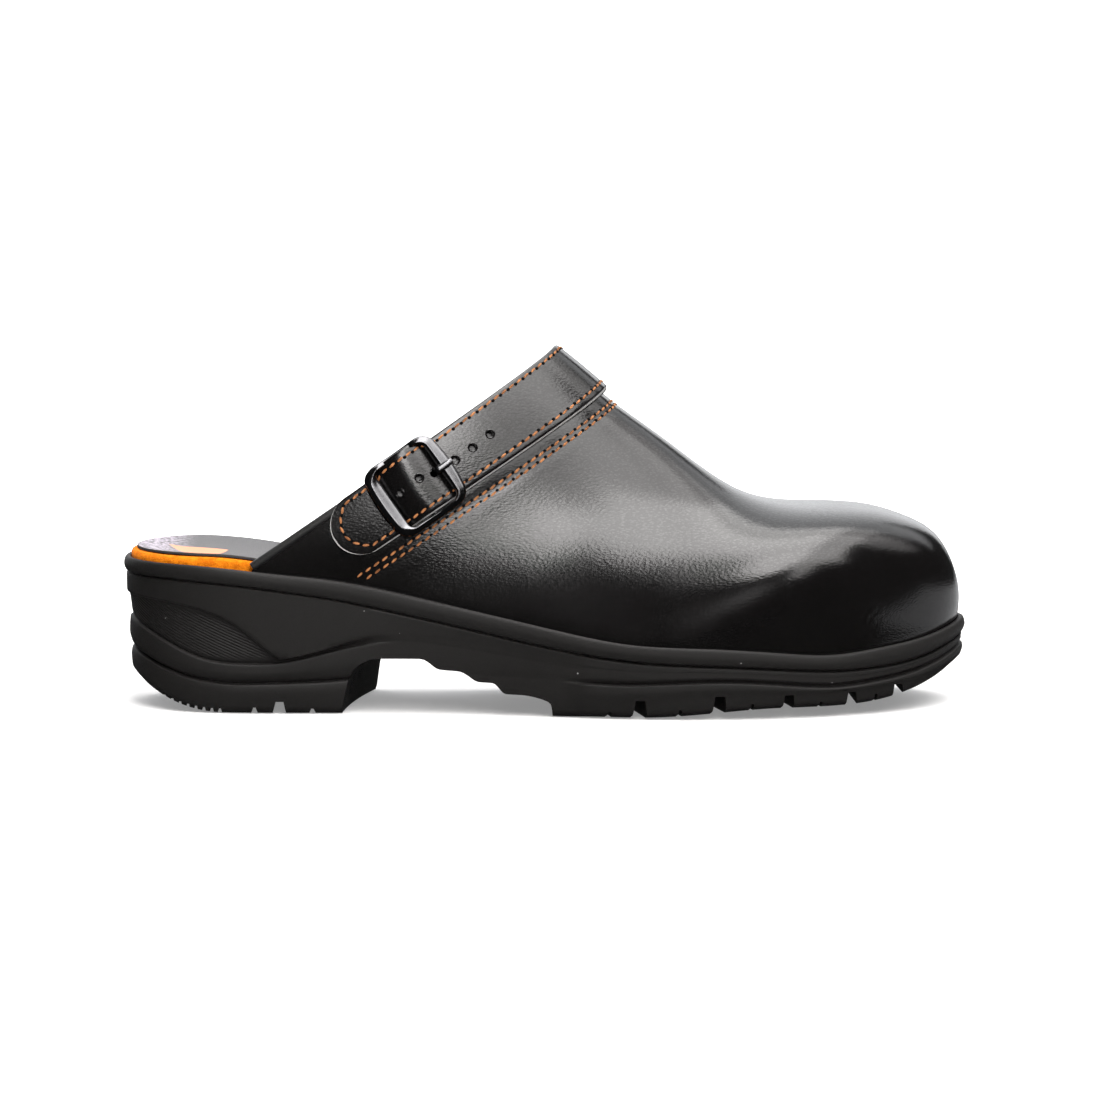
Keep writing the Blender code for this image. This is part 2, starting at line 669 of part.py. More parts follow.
frame = finish("buckle_frame", bm, (0.05, 0.05, 0.055), 0.25, 1.0)
bar = []
bar_half = (FRAME_INNER[1] + FRAME_OUTER[1]) / 2
for w in (-bar_half, bar_half):
    turns = [math.pi / 5 * (i + 0.5) for i in range(10)]
    bar.append([buckle_point(BAR_RADIUS * math.cos(a), w, BAR_SEAT + BAR_RADIUS * (1 + math.sin(a))) for a in turns])
bm = bmesh.new()
tube(bm, bar, closed=False)
bar_tool = finish("centre_bar", bm, (0.05, 0.05, 0.055), 0.25, 1.0)
bar_tool.hide_render = True
bar_tool.display_type = "WIRE"
union = frame.modifiers.new("centre_bar", "BOOLEAN")
union.operation = "UNION"
union.solver = "EXACT"
union.object = bar_tool

# Prong: from the centre bar under the strap, up through its hole and over the front bar
Bend = namedtuple("Bend", "s lift")
over = FRAME_SEAT + FRAME_HEIGHT + GAP + PRONG_THICK / 2
PRONG = (Bend(1.9, 0.95), Bend(6.2, 0.95), Bend(7.4, 2.2), Bend(8.6, over - 0.4), Bend(9.6, over), Bend(13.8, over - 0.05),
         Bend(14.9, over - 0.3))
loops = []
for i, bend in enumerate(PRONG):
    before, after = PRONG[max(i - 1, 0)], PRONG[min(i + 1, len(PRONG) - 1)]
    run, rise = after.s - before.s, after.lift - before.lift
    size = math.hypot(run, rise)
    lean_s, lean_lift = -rise / size * PRONG_THICK / 2, run / size * PRONG_THICK / 2
    half_w = PRONG_WIDTH / 2
    loops.append([buckle_point(bend.s + lean_s * v, half_w * u, bend.lift + lean_lift * v)
                  for u, v in ((-1, -1), (1, -1), (1, 0.4), (0.6, 1), (-0.6, 1), (-1, 0.4))])
bm = bmesh.new()
tube(bm, loops, closed=False)
finish("buckle_prong", bm, (0.05, 0.05, 0.055), 0.25, 1.0)
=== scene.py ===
# %% [markdown]
# # Dressing a black safety clog
# The packed solids of the clog are the fixed frame of this scene. Each piece is laid over the same
# lines as its solid, with many more points, and then gets the seams, holes and finish of the real
# thing. Everything here is worked out in millimetres from the back of the heel, because that is how
# a shoemaker reads a last, and it is turned into metres at the moment a mesh is made.

# %% Load the packed solids
import math

import bmesh
import bpy
import numpy as np
from mathutils import Matrix, Vector


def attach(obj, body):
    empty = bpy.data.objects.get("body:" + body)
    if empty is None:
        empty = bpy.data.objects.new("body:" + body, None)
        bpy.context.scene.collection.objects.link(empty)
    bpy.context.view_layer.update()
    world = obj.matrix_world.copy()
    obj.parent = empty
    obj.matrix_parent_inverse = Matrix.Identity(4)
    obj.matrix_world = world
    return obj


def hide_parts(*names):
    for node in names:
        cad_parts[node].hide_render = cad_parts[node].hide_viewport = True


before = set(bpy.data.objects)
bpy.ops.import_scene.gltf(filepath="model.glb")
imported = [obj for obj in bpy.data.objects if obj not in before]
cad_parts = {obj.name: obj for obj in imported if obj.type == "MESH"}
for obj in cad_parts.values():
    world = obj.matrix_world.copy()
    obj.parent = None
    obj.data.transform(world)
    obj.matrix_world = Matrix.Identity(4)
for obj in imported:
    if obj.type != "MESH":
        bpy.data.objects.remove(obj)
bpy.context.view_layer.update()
print("solids:", sorted(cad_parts))

# %% [markdown]
# ## Curves through a few measured points
# A shoe has hardly any straight line. A natural cubic curve passes through every measured point with
# no sudden change of bend, as a thin batten does. Working on whole arrays keeps it quick.

# %% A batten through points
LENGTH = 295.0


class Batten:
    """Natural cubic curve through knots, for a number or an array."""

    def __init__(self, knots, values):
        self.x, self.y = np.asarray(knots, float), np.asarray(values, float)
        span, size = np.diff(self.x), len(self.x)
        matrix, right = np.eye(size), np.zeros(size)
        for i in range(1, size - 1):
            matrix[i, i - 1:i + 2] = span[i - 1], 2 * (span[i - 1] + span[i]), span[i]
            rise = np.diff(self.y[i - 1:i + 2]) / span[i - 1:i + 1]
            right[i] = 6 * (rise[1] - rise[0])
        self.bend = np.linalg.solve(matrix, right)

    def __call__(self, at):
        at = np.asarray(at, float)
        i = np.clip(np.searchsorted(self.x, at) - 1, 0, len(self.x) - 2)
        span = self.x[i + 1] - self.x[i]
        a = (self.x[i + 1] - at) / span
        b = 1 - a
        bow = (a ** 3 - a) * self.bend[i] + (b ** 3 - b) * self.bend[i + 1]
        return a * self.y[i] + b * self.y[i + 1] + bow * span ** 2 / 6


def turn(x):
    """Station along the shoe, 0 at the heel and 1 at the toe, close-set at both round ends."""
    return np.arccos(1 - 2 * np.clip(np.asarray(x, float) / LENGTH, 0, 1)) / np.pi


def along(t):
    return LENGTH / 2 * (1 - np.cos(np.pi * np.asarray(t, float)))


def ease(x, start, end):
    s = np.clip((np.asarray(x, float) - start) / (end - start), 0, 1)
    return s * s * (3 - 2 * s)


def battens(columns, knot=turn):
    first, *rest = columns.items()
    return {name: Batten(knot(np.array(first[1], float)), ys) for name, ys in rest}


print("half way along:", float(along(0.5)), "mm")

# %% [markdown]
# ## The outline of the sole
# Seen from above the sole is straight on the outer side and sweeps in to the inner side, which is
# what makes it a right shoe. Every other line lies a little inside this one, square to it.

# %% Outline and its insets
TOE_Y, GAP, RIM = 5.5, 0.3, 2.4
OUTLINE = {
    "x": (0, 12, 30, 50, 75, 100, 125, 150, 175, 200, 225, 250, 270, 285, LENGTH),
    "lateral": (0, 26.6, 35.6, 37.8, 38.0, 38.6, 41.2, 46.5, 51.6, 54.0, 52.0, 44.6, 34.0, 21.4, -TOE_Y),
    "medial": (0, 26.6, 35.2, 36.8, 35.4, 33.6, 34.0, 38.6, 46.0, 51.4, 53.0, 49.4, 41.6, 30.6, TOE_Y),
}
half_width = battens(OUTLINE)
fine_t = np.linspace(0, 1, 401)
Y_MID = (half_width["medial"](fine_t).max() - half_width["lateral"](fine_t).max()) / 2


def edge(t, side):
    """Outline point; side is -1 lateral, 1 medial."""
    return np.stack((along(t), side * half_width["medial" if side > 0 else "lateral"](t)), -1)


def unit(ways):
    return ways / np.linalg.norm(ways, axis=-1, keepdims=True)


def inset(t, side, depth):
    """Outline point moved inwards, square to the outline."""
    tangent = edge(t + 1e-4, side) - edge(t - 1e-4, side)
    inward = np.stack((tangent[..., 1], -tangent[..., 0]), -1) * side
    return edge(t, side) + np.asarray(depth)[..., None] * unit(inward)


def place(points):
    """Millimetres from the heel into metres about the middle of the footprint."""
    return (np.asarray(points, float) - (LENGTH / 2, Y_MID, 0.0)) / 1000


print("widest:", round(float(np.ptp([edge(fine_t, s)[:, 1] for s in (-1, 1)])), 1), "mm")

# %% [markdown]
# ## The photographer's place
# The clog stands side on, seen from a little above with a long lens, so its lines hardly converge.
# The camera looks at a point over the middle of the sole. The focal length follows from how many
# millimetres one pixel of the 1100 pixel frame covers at that point.

# %% Camera
MM_PER_PIXEL, ELEVATION, DISTANCE = 0.3504, math.radians(6.49), 2.6
lens = bpy.data.cameras.new("long_lens")
lens.sensor_width = 36.0
lens.lens = DISTANCE * 1000 / MM_PER_PIXEL * lens.sensor_width / 1100
lens.clip_end = 60
camera = bpy.data.objects.new("camera", lens)
bpy.context.scene.collection.objects.link(camera)
aim = Vector((0.00175, 0.0005, 0.0530))
camera.location = aim + DISTANCE * Vector((0, -math.cos(ELEVATION), math.sin(ELEVATION)))
camera.rotation_euler = (math.pi / 2 - ELEVATION, 0, 0)
bpy.context.scene.camera = camera
print("lens:", round(lens.lens, 1), "mm")

# %% [markdown]
# ## Shader maths as Python
# A finish is easier to read as an expression than as a heap of nodes. This class stands for one
# output of a node: adding or multiplying two of them adds a Math node, and one method makes any other
# node, with its settings first and its sockets after.


# %% A wire between nodes
class Wire:
    """One node output; arithmetic on it adds Math nodes."""

    def __init__(self, tree, socket=None):
        self.tree, self.socket = tree, socket

    def node(self, kind, settings=None, sockets=None, out=0):
        made = self.tree.nodes.new("ShaderNode" + kind)
        for name, value in (settings or {}).items():
            if name == "stops":
                for element, (position, colour) in zip(made.color_ramp.elements, value):
                    element.position, element.color = position, (*colour, 1)
            else:
                setattr(made, name, value)
        for name, value in (sockets or {}).items():
            if isinstance(value, Wire):
                self.tree.links.new(value.socket, made.inputs[name])
            else:
                made.inputs[name].default_value = value
        return Wire(self.tree, made.outputs[out])

    def math(self, operation, *values):
        return self.node("Math", {"operation": operation}, dict(enumerate(values)))

    def vector(self, operation, *values, out=0):
        return self.node("VectorMath", {"operation": operation}, dict(enumerate(values)), out)

    def noise(self, at, scale, detail, out=0, **more):
        return self.node("TexNoise", None, {"Vector": at, "Scale": scale, "Detail": detail, **more}, out)

    def attribute(self, name):
        return self.node("Attribute", {"attribute_name": name}, out=2)

    def __add__(self, other):
        return self.math("ADD", self, other)

    def __sub__(self, other):
        return self.math("SUBTRACT", self, other)

    def __rsub__(self, other):
        return self.math("SUBTRACT", other, self)

    def __mul__(self, other):
        return self.math("MULTIPLY", self, other)

    def __gt__(self, other):
        return self.math("GREATER_THAN", self, other)

    __radd__ = __add__
    __rmul__ = __mul__

    def span(self, low, high, to_low=0.0, to_high=1.0):
        """Map a range of values smoothly on to another."""
        settings = {"interpolation_type": "SMOOTHSTEP"}
        return self.node("MapRange", settings, {"Value": self, 1: low, 2: high, 3: to_low, 4: to_high})

    def tint(self, dark, light):
        """A colour that goes from dark to light with this value."""
        sockets = {0: self, 6: (*dark, 1), 7: light if isinstance(light, Wire) else (*light, 1)}
        return self.node("Mix", {"data_type": "RGBA"}, sockets, out=2)

    def over(self, under, colour):
        """Lay a colour over another colour where this value is 1."""
        return self.node("Mix", {"data_type": "RGBA"}, {0: self, 6: under, 7: (*colour, 1)}, out=2)


def new_finish(name, **constants):
    """Material with its constant sockets set; gives the material, its wires and its shader."""
    material = bpy.data.materials.new(name)
    material.use_nodes = True
    shader = material.node_tree.nodes["Principled BSDF"]
    for socket, value in constants.items():
        shader.inputs[socket.replace("_", " ")].default_value = value
    return material, Wire(material.node_tree), shader


def feed(wires, shader, **links):
    for socket, wire in links.items():
        wires.tree.links.new(wire.socket, shader.inputs[socket.replace("_", " ")])


def in_mm(wires):
    """Object coordinates in millimetres."""
    spot = wires.node("TexCoord", out=3)
    return wires.node("Mapping", None, {"Vector": spot, "Scale": (1000, 1000, 1000)})


def bump(wires, height, depth_mm, strength=1.0):
    return wires.node("Bump", None, {"Strength": strength, "Distance": depth_mm / 1000, "Height": height})


print("wire operators:", [n for n in vars(Wire) if n.startswith("__")])

# %% [markdown]
# ## Floor and light
# A pale floor runs under the shoe and meets a glowing white wall far behind it. The floor glows too,
# more and more away from the shoe, so the picture fades to white and only the shadow close to the sole
# is left. The light is an arc of soft panels from the camera's side up and over the shoe, narrow and
# bright in the middle with a wider, weaker panel behind on the toe's side: on satin leather it makes the
# broad grey band along the flank. Beside and below the arc the studio is dark, so the foot of the flank
# is nearly black. Floor and wall are kept out of mirror reflections. White cards that show only there,
# two behind and one on the floor beyond the toe, light the ridge and the rim of the toe, and a small black
# one keeps the low panels off the toe cap's flank.

# %% Floor and wall
def stage_sheet(name, left, right, near, far, paint):
    """One flat sheet of the studio between two x, from a near y and z to a far one."""
    bm = bmesh.new()
    sheet = bmesh.ops.create_grid(bm, x_segments=1, y_segments=1, size=1)["verts"]
    for v in sheet:
        v.co = (left if v.co.x < 0 else right, *(near if v.co.y < 0 else far))
    mesh = bpy.data.meshes.new(name)
    bm.to_mesh(mesh)
    bm.free()
    item = bpy.data.objects.new(name, mesh)
    bpy.context.scene.collection.objects.link(item)
    mesh.materials.append(paint)
    return item


STAGE_X, FLOOR_Z = 9, -0.0003
floor_paint, wires, shader = new_finish("pale_floor", Base_Color=(0.7, 0.7, 0.7, 1), Roughness=0.9,
                                        Specular_IOR_Level=0.0, Emission_Strength=1.0)
spot = wires.node("Mapping", None, {"Vector": wires.node("TexCoord", out=3), "Scale": (2.2, 3.0, 0)})
away = wires.vector("LENGTH", spot, out=1)
feed(wires, shader, Emission_Color=away.span(0.35, 1.3, 0.25, 1.05))
floor = stage_sheet("floor", -STAGE_X, STAGE_X, (-6, FLOOR_Z), (3, FLOOR_Z), floor_paint)
wall_paint, *_ = new_finish("white_wall", Emission_Color=(0.95, 0.97, 1.0, 1), Roughness=0.9,
                            Emission_Strength=1.12)
backdrop = stage_sheet("wall", -STAGE_X, STAGE_X, (3, -0.1), (3.2, 6), wall_paint)
floor.visible_glossy = backdrop.visible_glossy = False


def gleam(name, left, right, near, far, strength):
    """A card that shows only in reflections: white, or black at no strength."""
    paint, *_ = new_finish(name, Base_Color=(0, 0, 0, 1), Emission_Color=(0.97, 0.98, 1.0, 1), Roughness=0.9,
                           Emission_Strength=strength)
    card = stage_sheet(name, left, right, near, far, paint)
    card.visible_camera = card.visible_diffuse = card.visible_shadow = False


gleam("card_beyond_toe", 0.2, 1.6, (-0.08, 0), (0.9, 0), 0.7)
gleam("card_behind", -3, 1.05, (2.9, 0), (2.9, 5), 1.3)
gleam("card_high_behind", 1.05, 3.6, (2.9, 1.8), (2.9, 5.5), 1.2)
gleam("flag_by_toe", 0.02, 0.103, (-0.12, 0.02), (-0.12, 0.107), 0.0)
print("stage:", floor.name, backdrop.name)


# %% Soft boxes
def soft_box(name, place_at, look_at, size, glow):
    """Area light at a place, turned to a point, as bright as the glow of its face."""
    light = bpy.data.lights.new(name, "AREA")
    light.shape, light.size, light.size_y = "RECTANGLE", size[0], size[1]
    light.energy = glow * math.pi * size[0] * size[1]
    light.color = (1.0, 0.98, 0.965)
    lamp = bpy.data.objects.new(name, light)
    lamp.location = place_at
    lamp.rotation_euler = (Vector(look_at) - Vector(place_at)).to_track_quat("-Z", "Y").to_euler()
    bpy.context.scene.collection.objects.link(lamp)


# Each panel: its low and high edge in degrees up from the camera's side, its left and right x, its glow.
ARC = ((9, 19, -0.04, 0.1, 9.4), (19, 24, -0.07, 0.19, 7.0), (20, 24, -0.07, 0.65, 2.8),
       (24, 37, -0.15, 0.22, 7.0), (24, 37, -0.15, 0.7, 3.2), (37, 46, -0.13, 0.2, 4.8),
       (37, 46, -0.13, 1.4, 4.2), (46, 72, -0.24, 0.4, 3.8), (46, 72, -0.24, 1.2, 5.2),
       (72, 104, -0.26, 0.45, 3.6), (72, 104, -0.26, 1.15, 4.6), (104, 122, -0.26, 0.5, 4.8),
       (104, 122, 0.5, 1.05, 2.2), (84, 120, 1.15, 1.5, 0.9), (84, 116, 1.15, 2.1, 1.3),
       (80, 104, -0.95, -0.27, 5.0))
ARC_RADIUS, ARC_STAGGER, ARC_HUB = 1.4, 0.02, 0.05
for k, (low, high, left, right, glow) in enumerate(ARC):
    middle, half = math.radians((low + high) / 2), math.radians((high - low) / 2)
    reach, x = ARC_RADIUS + ARC_STAGGER * (k % 2), (left + right) / 2
    spot = (x, -reach * math.cos(middle), ARC_HUB + reach * math.sin(middle))
    soft_box(f"panel_{k}", spot, (x, 0, ARC_HUB), (right - left, 2 * reach * math.tan(half)), glow)
world = bpy.data.worlds.new("studio")
world.use_nodes = True
world.node_tree.nodes["Background"].inputs["Color"].default_value = (1, 1, 1, 1)
world.node_tree.nodes["Background"].inputs["Strength"].default_value = 0.03
bpy.context.scene.world = world
bpy.context.scene.view_settings.view_transform = "Standard"

# %% [markdown]
# ## Black leather
# The upper is a smooth side leather with a fine printed grain: shallow cells, drawn out along the shoe,
# that break the long highlight into a satin sheen. Cells come from a Voronoi pattern. Their tops are
# polished, and a slow noise makes the gloss uneven, as handling does.


# %% Leather finish
def leather(name, tone, gloss, creased=None):
    """Pebbled leather; creased gives the middle of a patch of fine wrinkles."""
    material, wires, shader = new_finish(name, Coat_Roughness=0.22, Specular_IOR_Level=0.5)
    mm = in_mm(wires)
    warp = wires.noise(mm, 0.9, 2.0, out=1)
    drawn = wires.vector("MULTIPLY", mm, (0.42, 0.8, 1.0))
    spot = wires.vector("MULTIPLY_ADD", warp, (0.5, 0.5, 0.5), drawn)
    cells = wires.node("TexVoronoi", {"feature": "SMOOTH_F1"},
                       {"Vector": spot, "Scale": 1.8, "Smoothness": 0.4})
    pores = wires.noise(mm, 2.6, 3.0)
    slow = wires.noise(mm, 0.035, 3.0)
    grain = cells * 0.75 + pores * 0.35
    polish = cells.span(0.12, 0.55, 0.26, 0.02)
    if creased:
        tilted = wires.vector("MULTIPLY", mm, (1.0, 0.0, -0.8))
        lines = wires.node("TexWave", {"bands_direction": "DIAGONAL"},
                           {"Vector": tilted, "Scale": 0.19, "Distortion": 4.0, "Detail": 3.0,
                            "Detail Scale": 1.4})
        patch = wires.vector("DISTANCE", mm, creased, out=1).span(3, 13, 1.0, 0.0)
        grain = grain + lines * patch * 1.1
    colour = (slow * 0.7 + pores * 0.3).tint([c * 0.8 for c in tone], [c * 1.25 for c in tone])
    rough = slow.span(0.3, 0.7, gloss - 0.015, gloss + 0.02) + cells * 0.02
    feed(wires, shader, Base_Color=colour, Roughness=rough, Coat_Weight=polish,
         Normal=bump(wires, grain, 0.085, 0.5))
    return material


BLACK, CREASES_AT = (0.0022, 0.002, 0.002), (107, -36, 32)
upper_leather = leather("black_leather", BLACK, 0.155, CREASES_AT)
strap_leather = leather("strap_leather", BLACK, 0.17)
print("leather:", upper_leather.name, strap_leather.name)

# %% [markdown]
# ## A grid laid over a surface
# Blender's grid operator makes a flat sheet of quads. Each of its points is then moved to a place on
# a shape that we have as rows and columns of points. Where rows end in one point or columns meet, the
# doubled points are merged, so the sheet closes into a solid skin.


# %% Laying and finishing helpers
def lay_grid(bm, surface, values=None):
    """Lay a grid over points, rows by columns by xyz in mm; values fill named point attributes."""
    rows, columns = surface.shape[:2]
    spots = place(surface)
    made = bmesh.ops.create_grid(bm, x_segments=columns - 1, y_segments=rows - 1, size=1)["verts"]
    layers = {n: bm.verts.layers.float.get(n) or bm.verts.layers.float.new(n) for n in values or {}}
    if layers:
        bm.verts.ensure_lookup_table()
        made = bm.verts[-rows * columns:]
    for v in made:
        i = round((v.co.y + 1) / 2 * (rows - 1))
        j = round((v.co.x + 1) / 2 * (columns - 1))
        v.co = spots[i, j]
        for name, layer in layers.items():
            v[layer] = values[name][i, j]


MERGE, SLIVER = 2e-6, 1e-7


def close_skin(bm):
    bmesh.ops.remove_doubles(bm, verts=bm.verts, dist=MERGE)
    bmesh.ops.dissolve_degenerate(bm, edges=bm.edges, dist=SLIVER)
    bmesh.ops.recalc_face_normals(bm, faces=bm.faces)


def skin_over(surface, values=None):
    """Closed skin over rows and columns of points."""
    bm = bmesh.new()
    lay_grid(bm, surface, values)
    close_skin(bm)
    return bm


def stitched_in(name, bm, materials, nodes=(), sharp=40):
    """Make the piece's object, with smooth faces that stay crisp over sharp edges."""
    mesh = bpy.data.meshes.new(name)
    bm.to_mesh(mesh)
    bm.free()
    piece = bpy.data.objects.new(name, mesh)
    bpy.context.scene.collection.objects.link(piece)
    for material in materials:
        mesh.materials.append(material)
    settle(piece, sharp)
    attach(piece, "root")
    if nodes:
        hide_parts(*nodes)
    return piece


def settle(piece, sharp):
    piece.data.shade_smooth()
    piece.data.set_sharp_from_angle(angle=math.radians(sharp))
    piece.data.calc_loop_triangles()
    print(piece.name, "triangles:", len(piece.data.loop_triangles))


def combine(piece, bm, operation, material=None, sharp=40):
    """Cut closed shapes out of a piece, or join them to it, and keep the result as its mesh."""
    bmesh.ops.recalc_face_normals(bm, faces=bm.faces)
    mesh = bpy.data.meshes.new("tool")
    bm.to_mesh(mesh)
    bm.free()
    tool = bpy.data.objects.new("tool", mesh)
    bpy.context.scene.collection.objects.link(tool)
    mesh.materials.append(material or piece.data.materials[0])
    modifier = piece.modifiers.new("combine", "BOOLEAN")
    modifier.operation, modifier.solver, modifier.object = operation, "EXACT", tool
    modifier.material_mode = "TRANSFER"
    shaped = piece.evaluated_get(bpy.context.evaluated_depsgraph_get())
    piece.data = bpy.data.meshes.new_from_object(shaped)
    piece.modifiers.clear()
    bpy.data.objects.remove(tool)
    settle(piece, sharp)


# %% [markdown]
# ## Lines round the side of the sole
# The sole is cast in one shot, and its side is a stack of soft ridges and creases: the rim bead, a
# groove under it, the sweeping crease of the heel and the band over the lugs. Each is a height along
# the shoe. A ring lies on one of these lines, a little in from the outline.

# %% Heights and rings
LINES = {
    "x": (0, 14, 28, 42, 56, 75, 95, 115, 135, 155, 175, 205, 230, 248, 264, 280, LENGTH),
    "lug": (13.2, 6.6, 4.5, 4, 4, 4.2, 5, 5.4, 5.4, 5, 5.7, 7.9, 8.2, 8.2, 9, 11.4, 16.6),
    "band": (20, 14.6, 11.2, 10.2, 10.5, 11.4, 13.6, 14, 13.2, 12.4, 11.8, 13, 11.8, 10.6, 11.8, 14.8, 20.6),
    "crease": (31, 24.4, 19, 17.4, 17.9, 22.2, 25.2, 23.4, 20.4, 17.4, 15.8, 15.4, 14, 12.8, 13.6, 16.6,
               22.2),
    "swoosh": (39.2, 38.4, 36, 29.6, 19.4, 23.6, 27.6, 26.4, 23.2, 19.6, 17.6, 16.6, 15.4, 14.2, 14.8, 17.6,
               23.2),
    "groove": (46.2, 46.2, 45.4, 44.2, 42.4, 39.6, 35.4, 31, 26.6, 22.8, 20, 18.4, 17, 15.9, 16.4, 18.9, 24.3),
    "rim": (51.6, 51.6, 51.2, 50, 48.5, 46.4, 42.6, 38, 33.6, 29.4, 26, 24.6, 22.8, 21.7, 23.2, 25.6, 29.6),
    "bed": (49.4, 49.4, 49.2, 48.2, 46.2, 42.6, 37.6, 31.8, 26.2, 21.2, 17.6, 14.8, 13.6, 13.4, 13.9, 15.4,
            18.4),
}
side_line = battens(LINES, lambda x: x)
# Each ring: two lines, how far from the first to the second it lies, its lift, and how deep it is set in
# at the heel, at the waist and in front.
RINGS = (
    ("ground", "ground", 0, 0, 4.6, 5.0, 6.4),
    ("ground", "ground", 0, 1.6, 3.2, 3.4, 2.6),
    ("lug", "lug", 0, 0, 2.8, 2.8, 1.6),
    ("lug", "band", 0.55, 0, 2.5, 2.5, 0.8),
    ("band", "band", 0, -0.5, 2.9, 2.4, 1.0),
    ("band", "band", 0, 0.2, 4.3, 2.4, 2.7),
    ("band", "band", 0, 1.2, 3.0, 2.3, 1.8),
    ("band", "crease", 0.5, 0, 1.9, 2.1, 1.4),
    ("crease", "crease", 0, -0.6, 2.2, 2.0, 1.3),
    ("crease", "crease", 0, 0.1, 3.4, 2.0, 1.3),
    ("crease", "crease", 0, 1.0, 2.9, 1.9, 1.3),
    ("swoosh", "swoosh", 0, -0.5, 1.9, 1.8, 1.2),
    ("swoosh", "swoosh", 0, 0.4, 1.0, 1.7, 1.2),
    ("groove", "groove", 0, -0.7, 0.9, 1.5, 1.3),
    ("groove", "groove", 0, 0, 1.8, 2.2, 2.4),
    ("groove", "groove", 0, 0.7, 0.6, 0.8, 0.8),
    ("groove", "rim", 0.5, 0, 0, 0, 0),
    ("rim", "rim", 0, -0.8, 0.4, 0.4, 0.4),
    ("rim", "rim", 0, 0, 1.2, 1.2, 1.2),
    ("rim", "rim", 0, -0.2, RIM, RIM, RIM),
    ("bed", "bed", 0, 0, RIM, RIM, RIM),
)


BEVEL_END, BEVEL_RISE, ROCKER, ROCKER_RISE = 35, 11.0, (178, 232), 3.2
SPRING_START, SPRING_POWER, SPRING_RISE, CUP = 240, 3.2, 11.8, 2.0


def ground(x):
    """Height of the tread: bevelled at the heel, rocked at the ball, sprung at the toe."""
    bevel = np.clip(1 - x / BEVEL_END, 0, None) ** 2 * BEVEL_RISE
    spring = np.clip((x - SPRING_START) / (LENGTH - SPRING_START), 0, None) ** SPRING_POWER * SPRING_RISE
    return bevel + ease(x, *ROCKER) * ROCKER_RISE + spring


def height(name, x):
    return ground(x) if name == "ground" else side_line[name](x)


def cup(x):
    """Depth of the footbed's hollow along the middle."""
    return CUP * (1 - ease(x, 60, 200)) * ease(x, 0, 20)


def smooth_rows(rows, at):
    """Rounded run through rows that never overshoots them, so a crease stays where it is."""
    step = np.diff(rows, axis=0)
    before, after = step[:-1], step[1:]
    same = before * after > 0
    mean = np.where(same, 2 * before * after / np.where(same, before + after, 1), 0)
    slope = np.concatenate((step[:1], mean, step[-1:]))
    i = np.clip(at.astype(int), 0, len(rows) - 2)
    s = (at - i)[:, None]
    return (rows[i] * (1 + 2 * s) * (1 - s) ** 2 + slope[i] * s * (1 - s) ** 2
            + rows[i + 1] * s * s * (3 - 2 * s) + slope[i + 1] * s * s * (s - 1))


HEEL_ENDS, FRONT_STARTS, LEAST_STEP = (78, 96), (153, 164), 0.15


def wall(t, side, steps):
    """Side of the sole from the tread up to the bed: stations by steps by xyz."""
    x = along(t)
    heel, front = 1 - ease(x, *HEEL_ENDS), ease(x, *FRONT_STARTS)
    levels, depths = [], []
    for low, high, share, lift, at_heel, at_waist, at_front in RINGS:
        level = height(low, x) * (1 - share) + height(high, x) * share + lift
        if levels and len(levels) < len(RINGS) - 2:
            level = np.maximum(level, levels[-1] + LEAST_STEP)
        levels.append(level)
        depths.append(at_heel * heel + at_front * front + at_waist * (1 - heel - front))
    at = np.linspace(0, len(RINGS) - 1, steps)
    z, depth = smooth_rows(np.array(levels), at), smooth_rows(np.array(depths), at)
    return np.concatenate((inset(t, side, depth), z[..., None]), -1).swapaxes(0, 1)


print("rim at the waist:", round(float(side_line["rim"](130)), 1), "mm")

# %% [markdown]
# ## Moulded sole
# Cast polyurethane is matt, almost black, with a faint skin texture and a few specks of dust. The
# heel carries a fine hatched panel between two creases. It is too fine for mesh, so each point of the
# side remembers whether it lies in the panel and how far across the hatching it is, and the material
# turns that into relief.

# %% Sole finish
HATCH_PITCH, HATCH_LEAN = 1.05, 0.42
sole_rubber, wires, shader = new_finish("moulded_sole", Specular_IOR_Level=0.24)
mm = in_mm(wires)
skin = wires.noise(mm, 1.7, 4.0)
cloud = wires.noise(mm, 0.03, 3.0)
panel = wires.attribute("panel")
hatching = wires.attribute("hatching")
ridges = wires.math("SINE", hatching * (2 * math.pi / HATCH_PITCH)) * panel
dust_cell, dust_pick = (wires.node("TexVoronoi", None, {"Vector": mm, "Scale": 0.16}, k) for k in (0, 1))
picked = wires.node("SeparateColor", None, {"Color": dust_pick}) > 0.72
dust = (0.055 - dust_cell).span(0.0, 0.02) * picked
base = (cloud * 0.6 + skin * 0.4).tint((0.0065, 0.006, 0.0059), (0.011, 0.0102, 0.0098))
rough = skin.span(0.3, 0.7, 0.5, 0.62)
relief = skin * 0.25 + ridges * 0.8
feed(wires, shader, Base_Color=(dust * 0.45).over(base, (0.5, 0.5, 0.5)), Roughness=rough,
     Normal=bump(wires, relief, 0.16, 0.7))
print("sole finish:", sole_rubber.name)

# %% Sole skin
def walked(points):
    """Length walked along a run of points at each of them."""
    return np.concatenate(([0], np.cumsum(np.linalg.norm(np.diff(points, axis=0), axis=1))))


